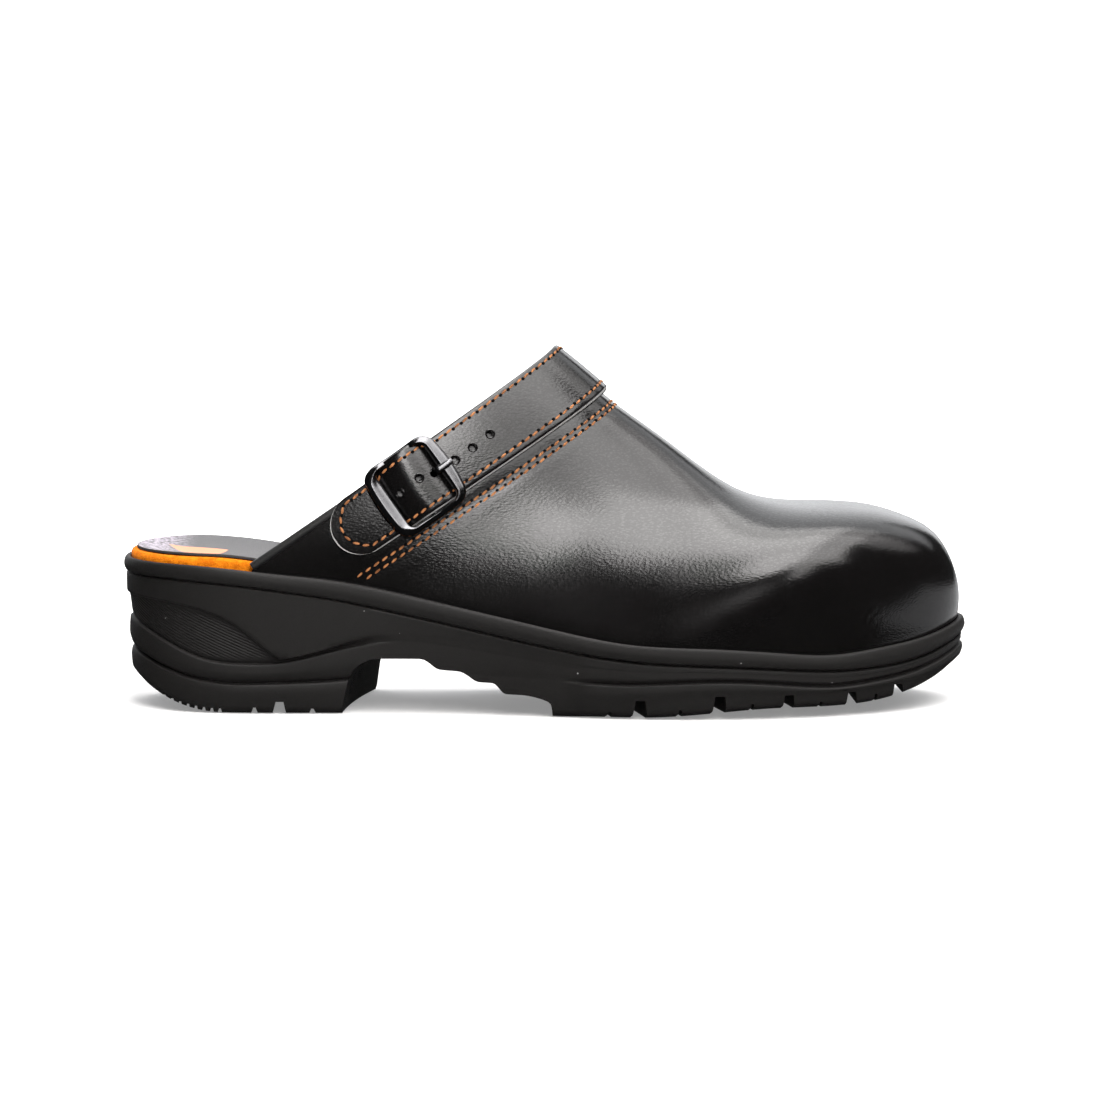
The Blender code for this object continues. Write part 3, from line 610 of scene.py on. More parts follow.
WALL_STEPS, PANEL_ENDS, PANEL_BLUR = 88, (50, 54), 0.3
stations = np.linspace(0, 1, 221)
lateral, medial = (wall(stations, side, WALL_STEPS) for side in (-1, 1))
across = np.linspace(0, 1, 14)[1:-1, None]
bed = lateral[:, -1:] * (1 - across) + medial[:, -1:] * across
bed[..., 2] -= cup(along(stations))[:, None] * (1 - (2 * across[:, 0] - 1) ** 2)
tread = medial[:, :1] * (1 - across) + lateral[:, :1] * across
loop = np.concatenate((lateral, bed, medial[:, ::-1], tread, lateral[:, :1]), 1)
x, z = along(stations)[:, None], loop[..., 2]
low, high = side_line["crease"](x) + 1.5, side_line["swoosh"](x) - 0.9
above_low, above_high = (ease(z, edge_z - PANEL_BLUR, edge_z + PANEL_BLUR) for edge_z in (low, high))
panel_mask = above_low * (1 - above_high) * (1 - ease(x, *PANEL_ENDS))
hatch_rows = z + HATCH_LEAN * walked(edge(stations, -1))[:, None]
sole_skin = skin_over(loop, {"panel": panel_mask, "hatching": hatch_rows})
sole = stitched_in("sole_moulding", sole_skin, [sole_rubber], ["sole"])

# %% [markdown]
# ## Arch and tread
# Under the sole the arch is hollowed from the heel breast to the first lug, and grooves part the lugs.
# The cutters are simple closed shapes: the arch is a run of outlines laid side by side across the shoe,
# moved forward to the inner side at the heel breast, and a groove is a cube pulled into a wedge. Fine bars
# under the back of the heel and a nick in each lug are cut the same way.

# %% Arch
ARCH_X = (76.5, 77.5, 80, 83.6, 90, 104, 111, 118, 124.5, 129.5, 134, 140, 149.5, 150.5)
ARCH_Z = (-4, 4, 13.4, 17.4, 19.2, 19.2, 15.5, 14.9, 11.4, 11.1, 7.4, 7.2, 4.3, -4)
PAST, UNDER, BREAST_TURN, BREAST_BOW, BREAST_REACH = 70, 6.0, 12.0, 2.0, 30


def close_ends(bm):
    """Join a run of outlines into one closed cutter."""
    bmesh.ops.remove_doubles(bm, verts=bm.verts, dist=MERGE)
    bmesh.ops.holes_fill(bm, edges=[e for e in bm.edges if e.is_boundary])


profile = smooth_rows(np.array((ARCH_X, ARCH_Z), float).T, np.linspace(0, len(ARCH_X) - 1, 66))
spread = np.linspace(-PAST, PAST, 29)[:, None]
breast = BREAST_TURN * (spread + 38) / 73 - BREAST_BOW * np.clip(1 - ((spread + 1.5) / 36.5) ** 2, 0, 1)
x = profile[:, 0] + breast * np.clip(1 - (profile[:, 0] - ARCH_X[0]) / BREAST_REACH, 0, 1)
tool = np.stack((x, np.broadcast_to(spread, x.shape), np.broadcast_to(profile[:, 1], x.shape)), -1)
bm = bmesh.new()
lay_grid(bm, np.concatenate((tool, tool[:, :1]), 1))
close_ends(bm)
combine(sole, bm, "DIFFERENCE")


# %% Grooves, bars and nicks
def groove(bm, x, width, top, start, end, slant, flare):
    """Wedge across the tread from y start to y end, wider by flare at the floor."""
    for v in bmesh.ops.create_cube(bm, size=1)["verts"]:
        share, up, right = v.co.y + 0.5, v.co.z > 0, 1 if v.co.x > 0 else -1
        z = top if up else -UNDER
        half = width / 2 if up else width / 2 + flare * (top + UNDER) / max(top, 1.0)
        v.co = place((x + slant * share + right * half, start + (end - start) * share, z))


def lug_top(x):
    return float(side_line["lug"](x))


HEEL_GROOVE, BAR_PITCH = 55.4, 2.8
bm = bmesh.new()
groove(bm, HEEL_GROOVE, 3.0, lug_top(HEEL_GROOVE), -PAST, PAST, 0, 0.8)
for x, width, slant, flare in ((184.3, 3.2, -14, 1.0), (211.4, 3.5, -14, 1.0), (236.0, 3.2, -14, 1.0),
                               (255.3, 2.6, -4, 1.3), (272.3, 2.9, -4, 1.3)):
    for side in (-1, 1):
        groove(bm, x, width, lug_top(x), side * PAST, 2 + side * 1.5, slant, flare)
combine(sole, bm, "DIFFERENCE")
bm = bmesh.new()
for x, share in ((46.8, 0.5), (66.9, 0.4), (174.0, 0.4), (197.7, 0.36), (222.7, 0.45), (247.5, 0.45),
                 (268.5, 0.5)):
    base = float(ground(x))
    top = base + (lug_top(x) - base) * share
    for side in (-1, 1):
        groove(bm, x, 0.8, top, side * PAST, side * 16, 0 if x < 100 else -10, 0.7)
for x in np.arange(9.5, 36, BAR_PITCH):
    groove(bm, x, 0.9, float(ground(x)) + 1.5, -PAST, PAST, 0, 0.25)
combine(sole, bm, "DIFFERENCE")
bm = bmesh.new()
for start, end, width, y in ((34, 70, 4, 0), (158, 272, 5, 2)):
    cuts = np.linspace(start, end, 15)
    top = side_line["lug"](cuts) - 0.8
    corners = ((-1, -UNDER), (-1, 0), (1, 0), (1, -UNDER), (-1, -UNDER))
    rows = [[(c, y + side * width / 2, z if z < 0 else h) for side, z in corners] for c, h in zip(cuts, top)]
    lay_grid(bm, np.array(rows, float))
close_ends(bm)
combine(sole, bm, "DIFFERENCE")

# %% [markdown]
# ## Ribs of the upper
# The upper is leather pulled over a last. Its section at any station is a fat oval arch that leans
# forward: it starts on the feather line inside the rim and ends on the ridge. A superellipse gives that
# arch with one number for its fullness.

# %% Rib functions
WALL, COLLAR, SKEW, FEATHER_DROP = 2.2, 41.4, 11.0, 0.4
RIB_TABLE = {
    "x": (36, 44, 62, 79, 100, 125, 150, 175, 200, 222, 242, 258, 272, 283, 291, LENGTH),
    "ridge_x": (146.4, 150.4, 160, 171.4, 186.4, 201, 214.6, 227.6, 240.6, 252.2, 262.6, 271.4, 280.8, 287.8,
                292.2, LENGTH - RIM - GAP),
    "ridge_y": (1, 1, 1.5, 2, 2.5, 3, 3.5, 4, 4.5, 4.8, 5, 5.2, 5.4, 5.5, 5.5, 5.5),
    "ridge_z": (124.9, 121.8, 114, 104.6, 93.8, 82.9, 74.2, 70.1, 69.1, 68.6, 67.4, 65, 60.9, 53.8, 42.4, 29.6),
    "fullness": (2.15, 2.15, 2.18, 2.2, 2.25, 2.4, 2.65, 3, 3.3, 3.4, 3.3, 3.1, 2.9, 2.7, 2.6, 2.5),
}
rib_line = battens(RIB_TABLE)


def feather(t):
    return side_line["rim"](along(t)) - FEATHER_DROP


def skew(t):
    """How far forward a rib's foot stands on the medial side, most at the collar."""
    return SKEW * (1 - ease(along(t), COLLAR, 150))


def rib_at(t, h, medial_side):
    """Point of the upper's outer face: rib t, share h of the way up, on one side."""
    t, h, medial_side = np.broadcast_arrays(np.asarray(t, float), np.clip(h, 0, 1), medial_side)
    forward = np.where(medial_side, skew(t), 0)
    base = np.where(medial_side, turn(along(t) + forward), t)
    foot = np.where(medial_side[..., None], inset(base, 1, RIM + GAP), inset(base, -1, RIM + GAP))
    n = rib_line["fullness"](t)
    out = (1 - h ** n) ** (1 / n)
    top_x, top_y, top_z = (rib_line[k](t) for k in ("ridge_x", "ridge_y", "ridge_z"))
    low = feather(base)
    return np.stack((foot[..., 0] + (top_x - foot[..., 0]) * h + forward * (out - 1 + h),
                     top_y + (foot[..., 1] - top_y) * out, low + (top_z - low) * h), -1)


def rib_turn(t, angle):
    """Rib point by angle: -90 degrees at the lateral feather line, 0 on the ridge, 90 medial."""
    t, angle = np.broadcast_arrays(np.asarray(t, float), np.asarray(angle, float))
    h = np.abs(np.cos(angle)) ** (2 / rib_line["fullness"](t))
    return rib_at(t, h, angle > 0)


def rib_normal(t, angle):
    t, angle = np.broadcast_arrays(np.minimum(t, 0.9985), np.asarray(angle, float))
    limit = np.pi / 2
    side_step = rib_turn(t, np.minimum(angle + 2e-3, limit)) - rib_turn(t, np.maximum(angle - 2e-3, -limit))
    normal = np.cross(rib_turn(t + 2e-4, angle) - rib_turn(t - 2e-4, angle), side_step)
    return unit(normal)


print("ridge over the collar:", np.round(rib_turn(turn(COLLAR), 0.0), 1))

# %% [markdown]
# ## Leather upper with its lining
# One grid makes the whole shell: it runs up the outer face from the sole, over the ridge and down,
# then back along the inner face. At the collar the two faces meet in one line under the binding, and
# at the toe each side closes on the other. Two sewn rows press a shallow valley into the leather.

# %% Lining finish
lining, wires, shader = new_finish("textile_lining", Roughness=0.85)
mm = in_mm(wires)
threads = wires.node("TexWave", {"bands_direction": "DIAGONAL"},
                     {"Vector": mm, "Scale": 0.55, "Distortion": 1.2})
mottle = wires.noise(mm, 0.2, 3.0)
feed(wires, shader, Base_Color=mottle.tint((0.035, 0.034, 0.034), (0.06, 0.058, 0.057)),
     Normal=bump(wires, threads, 0.12, 0.6))
print("lining finish:", lining.name)

# %% Upper shell
BINDING_WIDTH, BINDING_THICK, SHELL_START, TOE_RIBS = 3.2, 0.6, 3.4, 0.985
SEAM_ROWS, VALLEY = ((79.0, 77.7), (82.3, 79.8)), 0.2
rib_first = float(turn(COLLAR + SHELL_START))
ribs = np.concatenate((np.linspace(rib_first, TOE_RIBS, 140), np.linspace(TOE_RIBS, 1.0, 11)[1:]))[:, None]
# The turns stop just short of both feather lines and keep one point on the ridge.
turns = np.pi / 2 * np.linspace(-1, 1, 121)
turns = np.sign(turns) * (np.pi / 2 - (np.pi / 2 - np.abs(turns)) * 0.985 - 0.012)
turns[60] = 0.0


def seam_x(row, angle):
    """Rib that a sewn row crosses at an angle: it drifts from the feather line to the ridge."""
    return row[0] + (row[1] - row[0]) * np.abs(np.cos(angle)) ** 0.9


def leather_relief(t, angle):
    """How far the leather stands out from the last: a valley under each sewn row, in mm."""
    return sum(np.exp(-(along(t) - seam_x(row, angle)) ** 2) for row in SEAM_ROWS) * -VALLEY


def shell_face(depth):
    face = rib_turn(ribs, turns)
    face = face + (leather_relief(ribs, turns) - depth)[..., None] * rib_normal(ribs, turns)
    skirts = []
    for side in (-1, 1):
        base = turn(along(ribs[:, 0]) + skew(ribs[:, 0])) if side > 0 else ribs[:, 0]
        foot = inset(base, side, np.full(len(ribs), RIM + GAP + depth))
        levels = side_line["bed"](along(base)) + GAP, feather(base) - 1.5
        skirts.append(np.stack([np.concatenate((foot, z[:, None]), 1) for z in levels], 1))
    face[-1] = rib_turn(1.0, turns) - (depth, 0, 0)
    return np.concatenate((skirts[0], face, skirts[1][:, ::-1]), 1)


outer, inner = shell_face(0.0), shell_face(WALL)
shell = np.concatenate((outer, inner[:, ::-1], outer[:, :1]), 1)
middle = (outer[:1] + inner[:1]) / 2
lip = np.concatenate((middle, middle[:, ::-1], middle[:, :1]), 1)
inside = np.concatenate((np.zeros(outer.shape[1]), np.ones(inner.shape[1]), [0.0]))
shell = np.concatenate((lip, shell), 0)
bm = skin_over(shell, {"inside": np.broadcast_to(inside, shell.shape[:2])})
inside_layer = bm.verts.layers.float["inside"]
for face in bm.faces:
    face.material_index = int(sum(v[inside_layer] for v in face.verts) >= len(face.verts) - 1)
stitched_in("leather_upper", bm, [upper_leather, lining], ["upper"], 60)

# %% [markdown]
# ## Felt footbed and its cloth cover
# A full-length orange felt fills the sole, and its raw edge shows round the open heel. On it lies a thin
# grey cloth, set in from the edge. Both are closed slabs that follow the hollow of the bed, and a small
# seeded wobble makes the felt's cut edge uneven.

# %% Felt and cloth finishes
felt, wires, shader = new_finish("orange_felt", Roughness=0.95, Specular_IOR_Level=0.1)
mm = in_mm(wires)
fibres = wires.noise(mm, 1.6, 6.0, Distortion=1.6)
clumps = wires.noise(mm, 0.35, 2.0)
colour = (fibres * 0.65 + clumps * 0.35).span(0.3, 0.7).tint((0.55, 0.115, 0.002), (0.92, 0.27, 0.01))
feed(wires, shader, Base_Color=colour, Normal=bump(wires, fibres, 0.55, 0.9))

cover_cloth, wires, shader = new_finish("grey_cover_cloth", Roughness=0.8)
mm = in_mm(wires)
warp, weft = (wires.node("TexWave", {"bands_direction": k}, {"Vector": mm, "Scale": 0.5}) for k in "XY")
worn = wires.noise(mm, 0.05, 4.0)
ahead, across = (wires.node("SeparateXYZ", None, {"Vector": mm}, k) for k in (0, 1))
rim_dark = wires.attribute("cut_edge")
grey = (worn * 0.6 + warp * weft * 0.4).tint((0.07, 0.07, 0.073), (0.11, 0.109, 0.112))
speck = wires.noise(mm, 0.7, 4.0)
lilac = ahead.span(-136, -121, 0.9, 0.0) * speck.span(0.35, 0.6)
grey = lilac.over(grey, (0.4, 0.36, 0.42))
far, near = ahead * -0.262 - across - 26.1, across + ahead * 3.6 + 467.1
wedge = far.span(-0.4, 0.4) * near.span(-0.4, 0.4) * (across * 0.115 - ahead - 111.4).span(-0.4, 0.4)
grey = (wedge * 0.9).over(grey, (0.62, 0.27, 0.15))
feed(wires, shader, Base_Color=rim_dark.over(grey, (0.02, 0.02, 0.02)),
     Normal=bump(wires, warp * weft, 0.12, 0.5))
print("footbed finishes:", felt.name, cover_cloth.name)

# %% Felt and cover
FELT, COVER, COVER_INSET = 4.5, 0.9, 2.0
FRONT_INSET, HEEL_INSET = RIM + GAP + WALL + BINDING_THICK + GAP, RIM + GAP
bed_stations = np.linspace(0, 1, 181)
spread = np.linspace(0, 1, 41)


def slab(extra_inset, bottom, top, edge_round, wobble):
    """Closed slab over the bed, between two lifts, with rounded edges: stations by loop by xyz."""
    rng = np.random.default_rng(7)
    x = along(bed_stations)
    front = ease(x, 20, 38)
    depth = HEEL_INSET + (FRONT_INSET - HEEL_INSET) * front + extra_inset
    sag = cup(x)[:, None] * (1 - (2 * spread - 1) ** 2)

    def layer(lift, inward):
        shift = rng.normal(0, wobble, (2, len(x)))
        ends = [inset(bed_stations, side, depth + inward + np.abs(s)) for side, s in zip((-1, 1), shift)]
        flat = ends[0][:, None] * (1 - spread[:, None]) + ends[1][:, None] * spread[:, None]
        return np.concatenate((flat, (side_line["bed"](x)[:, None] + lift - sag)[..., None]), -1)

    under = layer(bottom, 0.0)
    flank = [layer(top - edge_round, 0.0), layer(top - edge_round * 0.3, edge_round * 0.3)]
    over = layer(top, edge_round)
    rise = [f[:, -1:] for f in flank]
    fall = [f[:, :1] for f in flank[::-1]]
    return np.concatenate((under, *rise, over[:, ::-1], *fall, under[:, :1]), 1)


felt_loop = slab(0.0, GAP, GAP + FELT, 1.2, 0.12)
stitched_in("felt_footbed", skin_over(felt_loop), [felt], ["insole"], 70)
cover_loop = slab(COVER_INSET, GAP * 2 + FELT, GAP * 2 + FELT + COVER, 0.35, 0.02)
# The points of the loop that lie on the two cut edges: 41 points under, 2 up, 41 over, 2 down, 1 to close.
cut_edge = np.zeros(cover_loop.shape[1])
cut_edge[[0, 40, 41, 42, 84, 85, 86]] = 1.0
cover_skin = skin_over(cover_loop, {"cut_edge": np.broadcast_to(cut_edge, cover_loop.shape[:2])})
stitched_in("footbed_cover", cover_skin, [cover_cloth], ["insole_cover"], 60)

# %% [markdown]
# ## Collar binding
# The raw edge of the collar is wrapped in a narrow band that shows as a soft roll. It is a tube: an
# oval section carried along the collar, closed to a point at each end inside the sole.

# %% Binding
def oval(points, power):
    """Two coordinates round a closed oval, squarer with a smaller power."""
    a = np.linspace(0, 2 * np.pi, points)
    return (np.sign(f) * np.abs(f) ** power for f in (np.cos(a), np.sin(a)))


def capped(tube, middles):
    """Tube with both ends closed to a point."""
    ends = [np.broadcast_to(middles[i], tube[:1].shape) for i in (0, -1)]
    return np.concatenate((ends[0], tube, ends[1]), 0)


binding_cloth = leather("binding_leather", (0.006, 0.006, 0.006), 0.4)
angles = np.pi / 2 * 0.99 * np.linspace(-1, 1, 161)
collar_t, wall_t = turn(COLLAR), turn(COLLAR + BINDING_WIDTH * 1.5)
edge_points, wall_points = rib_turn(collar_t, angles), rib_turn(wall_t, angles)
normals = rib_normal(turn(COLLAR + 2.4), angles)
middles = (edge_points + wall_points) / 2 - normals * WALL / 2
tangents = rib_turn(collar_t, angles + 0.01) - rib_turn(collar_t, angles - 0.01)
width_way = unit(np.cross(tangents, normals))
half_wide = np.abs(np.sum((wall_points - edge_points) * width_way, -1)) / 2 * 1.06
u, v = oval(29, 0.8)
roll = (middles[:, None] + width_way[:, None] * half_wide[:, None, None] * u[:, None]
        + normals[:, None] * (WALL / 2 + BINDING_THICK) * v[:, None])
roll = capped(roll, middles)
stitched_in("collar_roll", skin_over(roll), [binding_cloth], ["collar_binding"], 70)

# %% [markdown]
# ## Instep strap
# The strap lies over the upper between the collar and a line lower down the ribs. A place on it is a
# length along from the buckle and a width across. It lifts over the buckle's centre bar, spreads a little
# over the upper rail and goes under both end bars. Its lower cut edge shows grey fibres, paler at the tips;
# that paleness is partly the fibres' own colour and partly a painted highlight, a thin pale line along the
# edge that is palest at the tips.

# %% Where the strap runs
STRAP_WIDTH, STRAP_THICK, STRAP_LIFT, STRAP_LOW, STRAP_BOW = 22.0, 2.0, 0.95, 73.2, 0.04
BAR_RADIUS, BAR_SEAT, TIP, TIP_RADIUS = 1.0, 1.05, -33.4, 10.4
HUMP = BAR_SEAT + BAR_RADIUS * 2 + GAP * 1.5 - STRAP_LIFT
HUMP_EXTRA, HUMP_REACH, SPREAD, SPREAD_WIDTH, END_REACH = 0.6, 9.9, 2.2, 8, 24
BUCKLE_UP, END_UP = 0.4535, 0.34
strap_mid = turn((COLLAR + STRAP_LOW) / 2)
arc_angles = np.linspace(-np.pi / 2, np.pi / 2, 721)
arc_lengths = walked(rib_turn(strap_mid, arc_angles))


def angle_of(h, t, side):
    return side * np.arccos(np.minimum(np.clip(h, 0, 1) ** (rib_line["fullness"](t) / 2), 1))


arc_zero = np.interp(angle_of(BUCKLE_UP, strap_mid, -1), arc_angles, arc_lengths)
MEDIAL_END = float(np.interp(angle_of(END_UP, strap_mid, 1), arc_angles, arc_lengths) - arc_zero)


def strap_point(s, w, lift):
    """Point over the upper: s along the strap from the buckle, w across it from the collar edge."""
    s, w, lift = np.broadcast_arrays(np.asarray(s, float), np.asarray(w, float), np.asarray(lift, float))
    share = w / STRAP_WIDTH
    t = turn(COLLAR + (STRAP_LOW - COLLAR) * share * (1 + STRAP_BOW * (1 - share)))
    angle = np.interp(s + arc_zero, arc_lengths, arc_angles)
    medial_side = angle > 0
    h = np.abs(np.cos(angle)) ** (2 / rib_line["fullness"](strap_mid))
    pick = (..., [0, 2])
    rise = (rib_at(strap_mid, 1.0, medial_side) - rib_at(strap_mid, 0.0, medial_side))[pick]
    lean = (rib_at(turn(STRAP_LOW), h, medial_side) - rib_at(collar_t, h, medial_side))[pick]
    lean = np.sum(lean * rise, -1) / np.sum(rise * rise, -1)
    h = h - lean * (share - 0.5) * (1 - ease(h, 0.55, 0.98))
    turned = angle_of(h, t, np.where(medial_side, 1, -1))
    return rib_turn(t, turned) + lift[..., None] * rib_normal(t, turned)


def strap_lift(s):
    return STRAP_LIFT + (HUMP + HUMP_EXTRA) * np.clip(1 - (s / HUMP_REACH) ** 2, 0, None)


def bulge(s, w):
    """The collar edge spreads over the frame's rail where the strap humps."""
    return w - SPREAD * (1 - ease(np.abs(s), 8, 11)) * np.clip(1 - w / SPREAD_WIDTH, 0, None) ** 2


def tip_round(w):
    near = np.minimum(w, STRAP_WIDTH - w)
    return TIP_RADIUS - np.sqrt(TIP_RADIUS ** 2 - np.clip(TIP_RADIUS - near, 0, None) ** 2)


def strap_at(s, w, lift):
    """Strap point with both ends rounded."""
    pull = np.clip(1 - (s - TIP) / END_REACH, 0, None) - np.clip(1 - (MEDIAL_END - s) / END_REACH, 0, None)
    s = s + tip_round(w) * pull
    return strap_point(s, bulge(s, w), strap_lift(s) + lift)


print("strap length:", round(MEDIAL_END - TIP, 1), "mm")

# %% Strap finishes
raw_edge_and_highlight, wires, shader = new_finish("cut_leather_edge_and_highlight", Roughness=0.85)
mm = in_mm(wires)
fuzz = wires.noise(mm, 2.2, 5.0, Distortion=1.0)
# Painted highlight: the pale grey is partly the cut fibres' own colour and partly a highlight painted into it.
# The lower cut edge is darkened to about a quarter of it, which leaves a thin pale line; the two tips keep it
# all.
fibres = fuzz.span(0.3, 0.7).tint((0.35, 0.34, 0.33), (0.9, 0.89, 0.88))
inked = wires.attribute("pale").span(0.62, 0.95, 0.72, 0.0)
feed(wires, shader, Base_Color=inked.over(fibres, (0.05, 0.049, 0.048)),
     Normal=bump(wires, fuzz, 0.25, 0.8))
print("edge finish:", raw_edge_and_highlight.name)

# %% Strap body
INK, CUT_IN, CUT_UP = 0.6, 0.12, 1.15
corner, r, flare = np.linspace(0, np.pi / 2, 5), 0.65, 0.45
top_w = np.concatenate((r - r * np.cos(corner), np.linspace(r, STRAP_WIDTH - flare - r, 31)[1:-1],
                        STRAP_WIDTH - flare - r + r * np.sin(corner)))
under_w = top_w * STRAP_WIDTH / (STRAP_WIDTH - flare)
top_l = np.concatenate((STRAP_THICK - r + r * np.sin(corner), np.full(29, STRAP_THICK),
                        STRAP_THICK - r + r * np.cos(corner)))
section_w = np.concatenate((top_w, [STRAP_WIDTH - CUT_IN], under_w[::-1], top_w[:1]))
section_l = np.concatenate((top_l, [CUT_UP], (STRAP_THICK - top_l[::-1]) * 0.45, top_l[:1]))
runs = np.concatenate((np.linspace(TIP, 34, 111), np.linspace(34, MEDIAL_END, 100)[1:]))
rows = [strap_at(np.full(section_w.shape, s), section_w, section_l) for s in runs]
count = len(top_w)
lower = np.arange(len(section_w)) >= count
lower[-1] = False
level_w = np.concatenate((under_w, [STRAP_WIDTH], under_w[::-1], under_w[:1]))
for end, outward in ((0, -1), (-1, 1)):
    for shift, drop in ((0.25, 0.75), (0.45, 0.0)):
        lift = np.where(lower, section_l, section_l * drop) if drop else np.zeros(section_w.shape)
        across = section_w if drop else level_w
        row = strap_at(np.full(section_w.shape, runs[end] + outward * shift), across, lift)
        rows.insert(0 if end == 0 else len(rows), row)
# The pale attribute carries the painted highlight: INK on the lower cut edge, full at the end rows of both
# tips.
bare = np.zeros(len(section_w))
bare[count - 1:count + 3] = INK
pale = np.tile(bare, (len(rows), 1))
pale[[0, 1, 2, -3, -2, -1]] = 1.0
bm = skin_over(np.array(rows), {"pale": pale})
pale_layer = bm.verts.layers.float["pale"]
for face in bm.faces:
    face.material_index = int(min(v[pale_layer] for v in face.verts) > 0.5)
strap = stitched_in("instep_band", bm, [strap_leather, raw_edge_and_highlight], ["instep_strap"], 50)

# %% [markdown]
# ## Punched holes
# The strap is punched along its middle, one hole for each fit. The punch leaves a pressed ring round
# each hole. The buckle's own directions, along, across and out, come from the strap where it lies.

# %% Holes and rings
HOLES, HOLE_RADIUS = ((-6.1, 10.1), (2.2, 9.6), (16.2, 11.5), (23.5, 11.5), (31.1, 11.2)), 1.25
mid, FRAME_SHIFT = STRAP_WIDTH / 2, -0.1
centre = strap_point(0.0, mid, 0.0)
way = unit(strap_point(6.0, mid, 0.0) - strap_point(-6.0, mid, 0.0))
out = unit(np.cross(strap_point(0.0, STRAP_WIDTH, 0.0) - strap_point(0.0, 0.0, 0.0), way))
out = out if out[1] < 0 else -out
cross = np.cross(out, way)


def pose_at(spot, x_way, y_way, z_way):
    """Matrix that carries a shape, made in metres at the origin, to a spot in millimetres."""
    turned = Matrix((x_way, y_way, z_way)).transposed().to_4x4()
    return Matrix.Translation(Vector(place(spot))) @ turned


def strap_ways(s, w):
    """Along, across and out of the strap's top face at a place on it."""
    step = strap_at(s + 0.4, w, STRAP_THICK) - strap_at(s - 0.4, w, STRAP_THICK)
    side = strap_at(s, w - 0.4, STRAP_THICK) - strap_at(s, w + 0.4, STRAP_THICK)
    ahead = Vector(step).normalized()
    up = ahead.cross(Vector(side)).normalized()
    up = up if up.dot(Vector(out)) > 0 else -up
    return ahead, up.cross(ahead), up


def round_bar(bm, radius, length, pose, segments=28):
    bmesh.ops.create_cone(bm, cap_ends=True, segments=segments, radius1=radius / 1000, radius2=radius / 1000,
                          depth=length / 1000, matrix=pose)


PRONG_HOLE, PRONG_RADIUS, PRONG_STRETCH = 7.4, 1.7, Matrix.Diagonal((1.25, 1, 1, 1))
RING_WIRE, RING_OUT = 0.32, 0.22
bm = bmesh.new()
for s, w in HOLES:
    round_bar(bm, HOLE_RADIUS, 9, pose_at(strap_at(s, w, STRAP_THICK / 2), *strap_ways(s, w)))
s, w = PRONG_HOLE, mid - FRAME_SHIFT
slot_pose = pose_at(strap_at(s, w, STRAP_THICK / 2), *strap_ways(s, w))
round_bar(bm, PRONG_RADIUS, 12, slot_pose @ PRONG_STRETCH)
combine(strap, bm, "DIFFERENCE", strap_leather, 50)
bm = bmesh.new()
for s, w in HOLES:
    pose = pose_at(strap_at(s, w, STRAP_THICK), *strap_ways(s, w))
    seed = bmesh.ops.create_circle(bm, segments=8, radius=RING_WIRE / 1000)["verts"]
    bmesh.ops.rotate(bm, verts=seed, cent=(0, 0, 0), matrix=Matrix.Rotation(math.pi / 2, 3, "X"))
    bmesh.ops.translate(bm, verts=seed, vec=((HOLE_RADIUS + RING_OUT) / 1000, 0, 0))
    ring_edges = list({e for v in seed for e in v.link_edges})
    before = set(bm.verts) - set(seed)
    bmesh.ops.spin(bm, geom=seed + ring_edges, cent=(0, 0, 0), axis=(0, 0, 1), angle=2 * math.pi, steps=24,
                   use_merge=True)
    made = [v for v in bm.verts if v not in before]
    bmesh.ops.transform(bm, matrix=pose, verts=made)
close_skin(bm)
stitched_in("punched_rings", bm, [strap_leather])

# %% [markdown]
# ## Buckle
# The frame is cast and plated black nickel: a rounded rectangle that dips at its two rails, where a
# centre bar joins them under the strap. The top of its rear bar leans in to the window and that of its
# front bar leans out, so a profile goes over from one to the other round the frame. The prong turns on
# the centre bar, comes up through a hole and rests on the front bar.

# %% Nickel finish
nickel, wires, shader = new_finish("black_nickel", Metallic=1.0)
mm = in_mm(wires)
haze = wires.noise(mm, 0.6, 4.0)
pits = wires.noise(mm, 3.5, 3.0)
feed(wires, shader, Base_Color=haze.tint((0.085, 0.085, 0.09), (0.15, 0.15, 0.155)),
     Roughness=haze.span(0.3, 0.7, 0.14, 0.22), Normal=bump(wires, pits, 0.03, 0.2))
print("metal finish:", nickel.name)

# %% Frame and centre bar
FRAME_SEAT, FRAME_HEIGHT, UPPER_DIP, LOWER_DIP = STRAP_LIFT + STRAP_THICK + 0.45, 2.4, 2.4, 1.2
WINDOW, WINDOW_ROUND, FRAME, FRAME_ROUND = (9.8, 11.5), 2.4, (12.9, 13.9), 4.4
BOW, REAR_BOW, BAR_LENGTH = 1.8, 0.9, 25.4


def rounded(half_size, radius, steps=9, splits=15):
    """Corner-rounded rectangle with points along its sides."""
    points = []
    for k, (sx, sy) in enumerate(((1, 1), (-1, 1), (-1, -1), (1, -1))):
        a = np.pi / 2 * (k + np.linspace(0, 1, steps + 1))
        points += list(np.stack((sx * (half_size[0] - radius) + radius * np.cos(a),
                                 sy * (half_size[1] - radius) + radius * np.sin(a)), -1))
        share = 1 - 2 * np.arange(1, splits + 1) / (splits + 1)
        if k % 2:
            points += [(sx * half_size[0], sy * (half_size[1] - radius) * f) for f in share]
        else:
            points += [(sx * (half_size[0] - radius) * f, sy * half_size[1]) for f in share]
    return np.array(points)


def buckle_point(s, w, lift):
    s, w, lift = (np.asarray(v)[..., None] for v in (s, w, lift))
    return centre + way * s + cross * (w + FRAME_SHIFT) + out * lift


inner, outer = rounded(WINDOW, WINDOW_ROUND), rounded(FRAME, FRAME_ROUND)
swell = BOW * (1 - (outer[:, 1] / FRAME[1]) ** 2) + np.where(outer[:, 0] < 0, REAR_BOW, 0)
outer[:, 0] += np.sign(outer[:, 0]) * swell * ease(np.abs(outer[:, 0]), 8, 12)
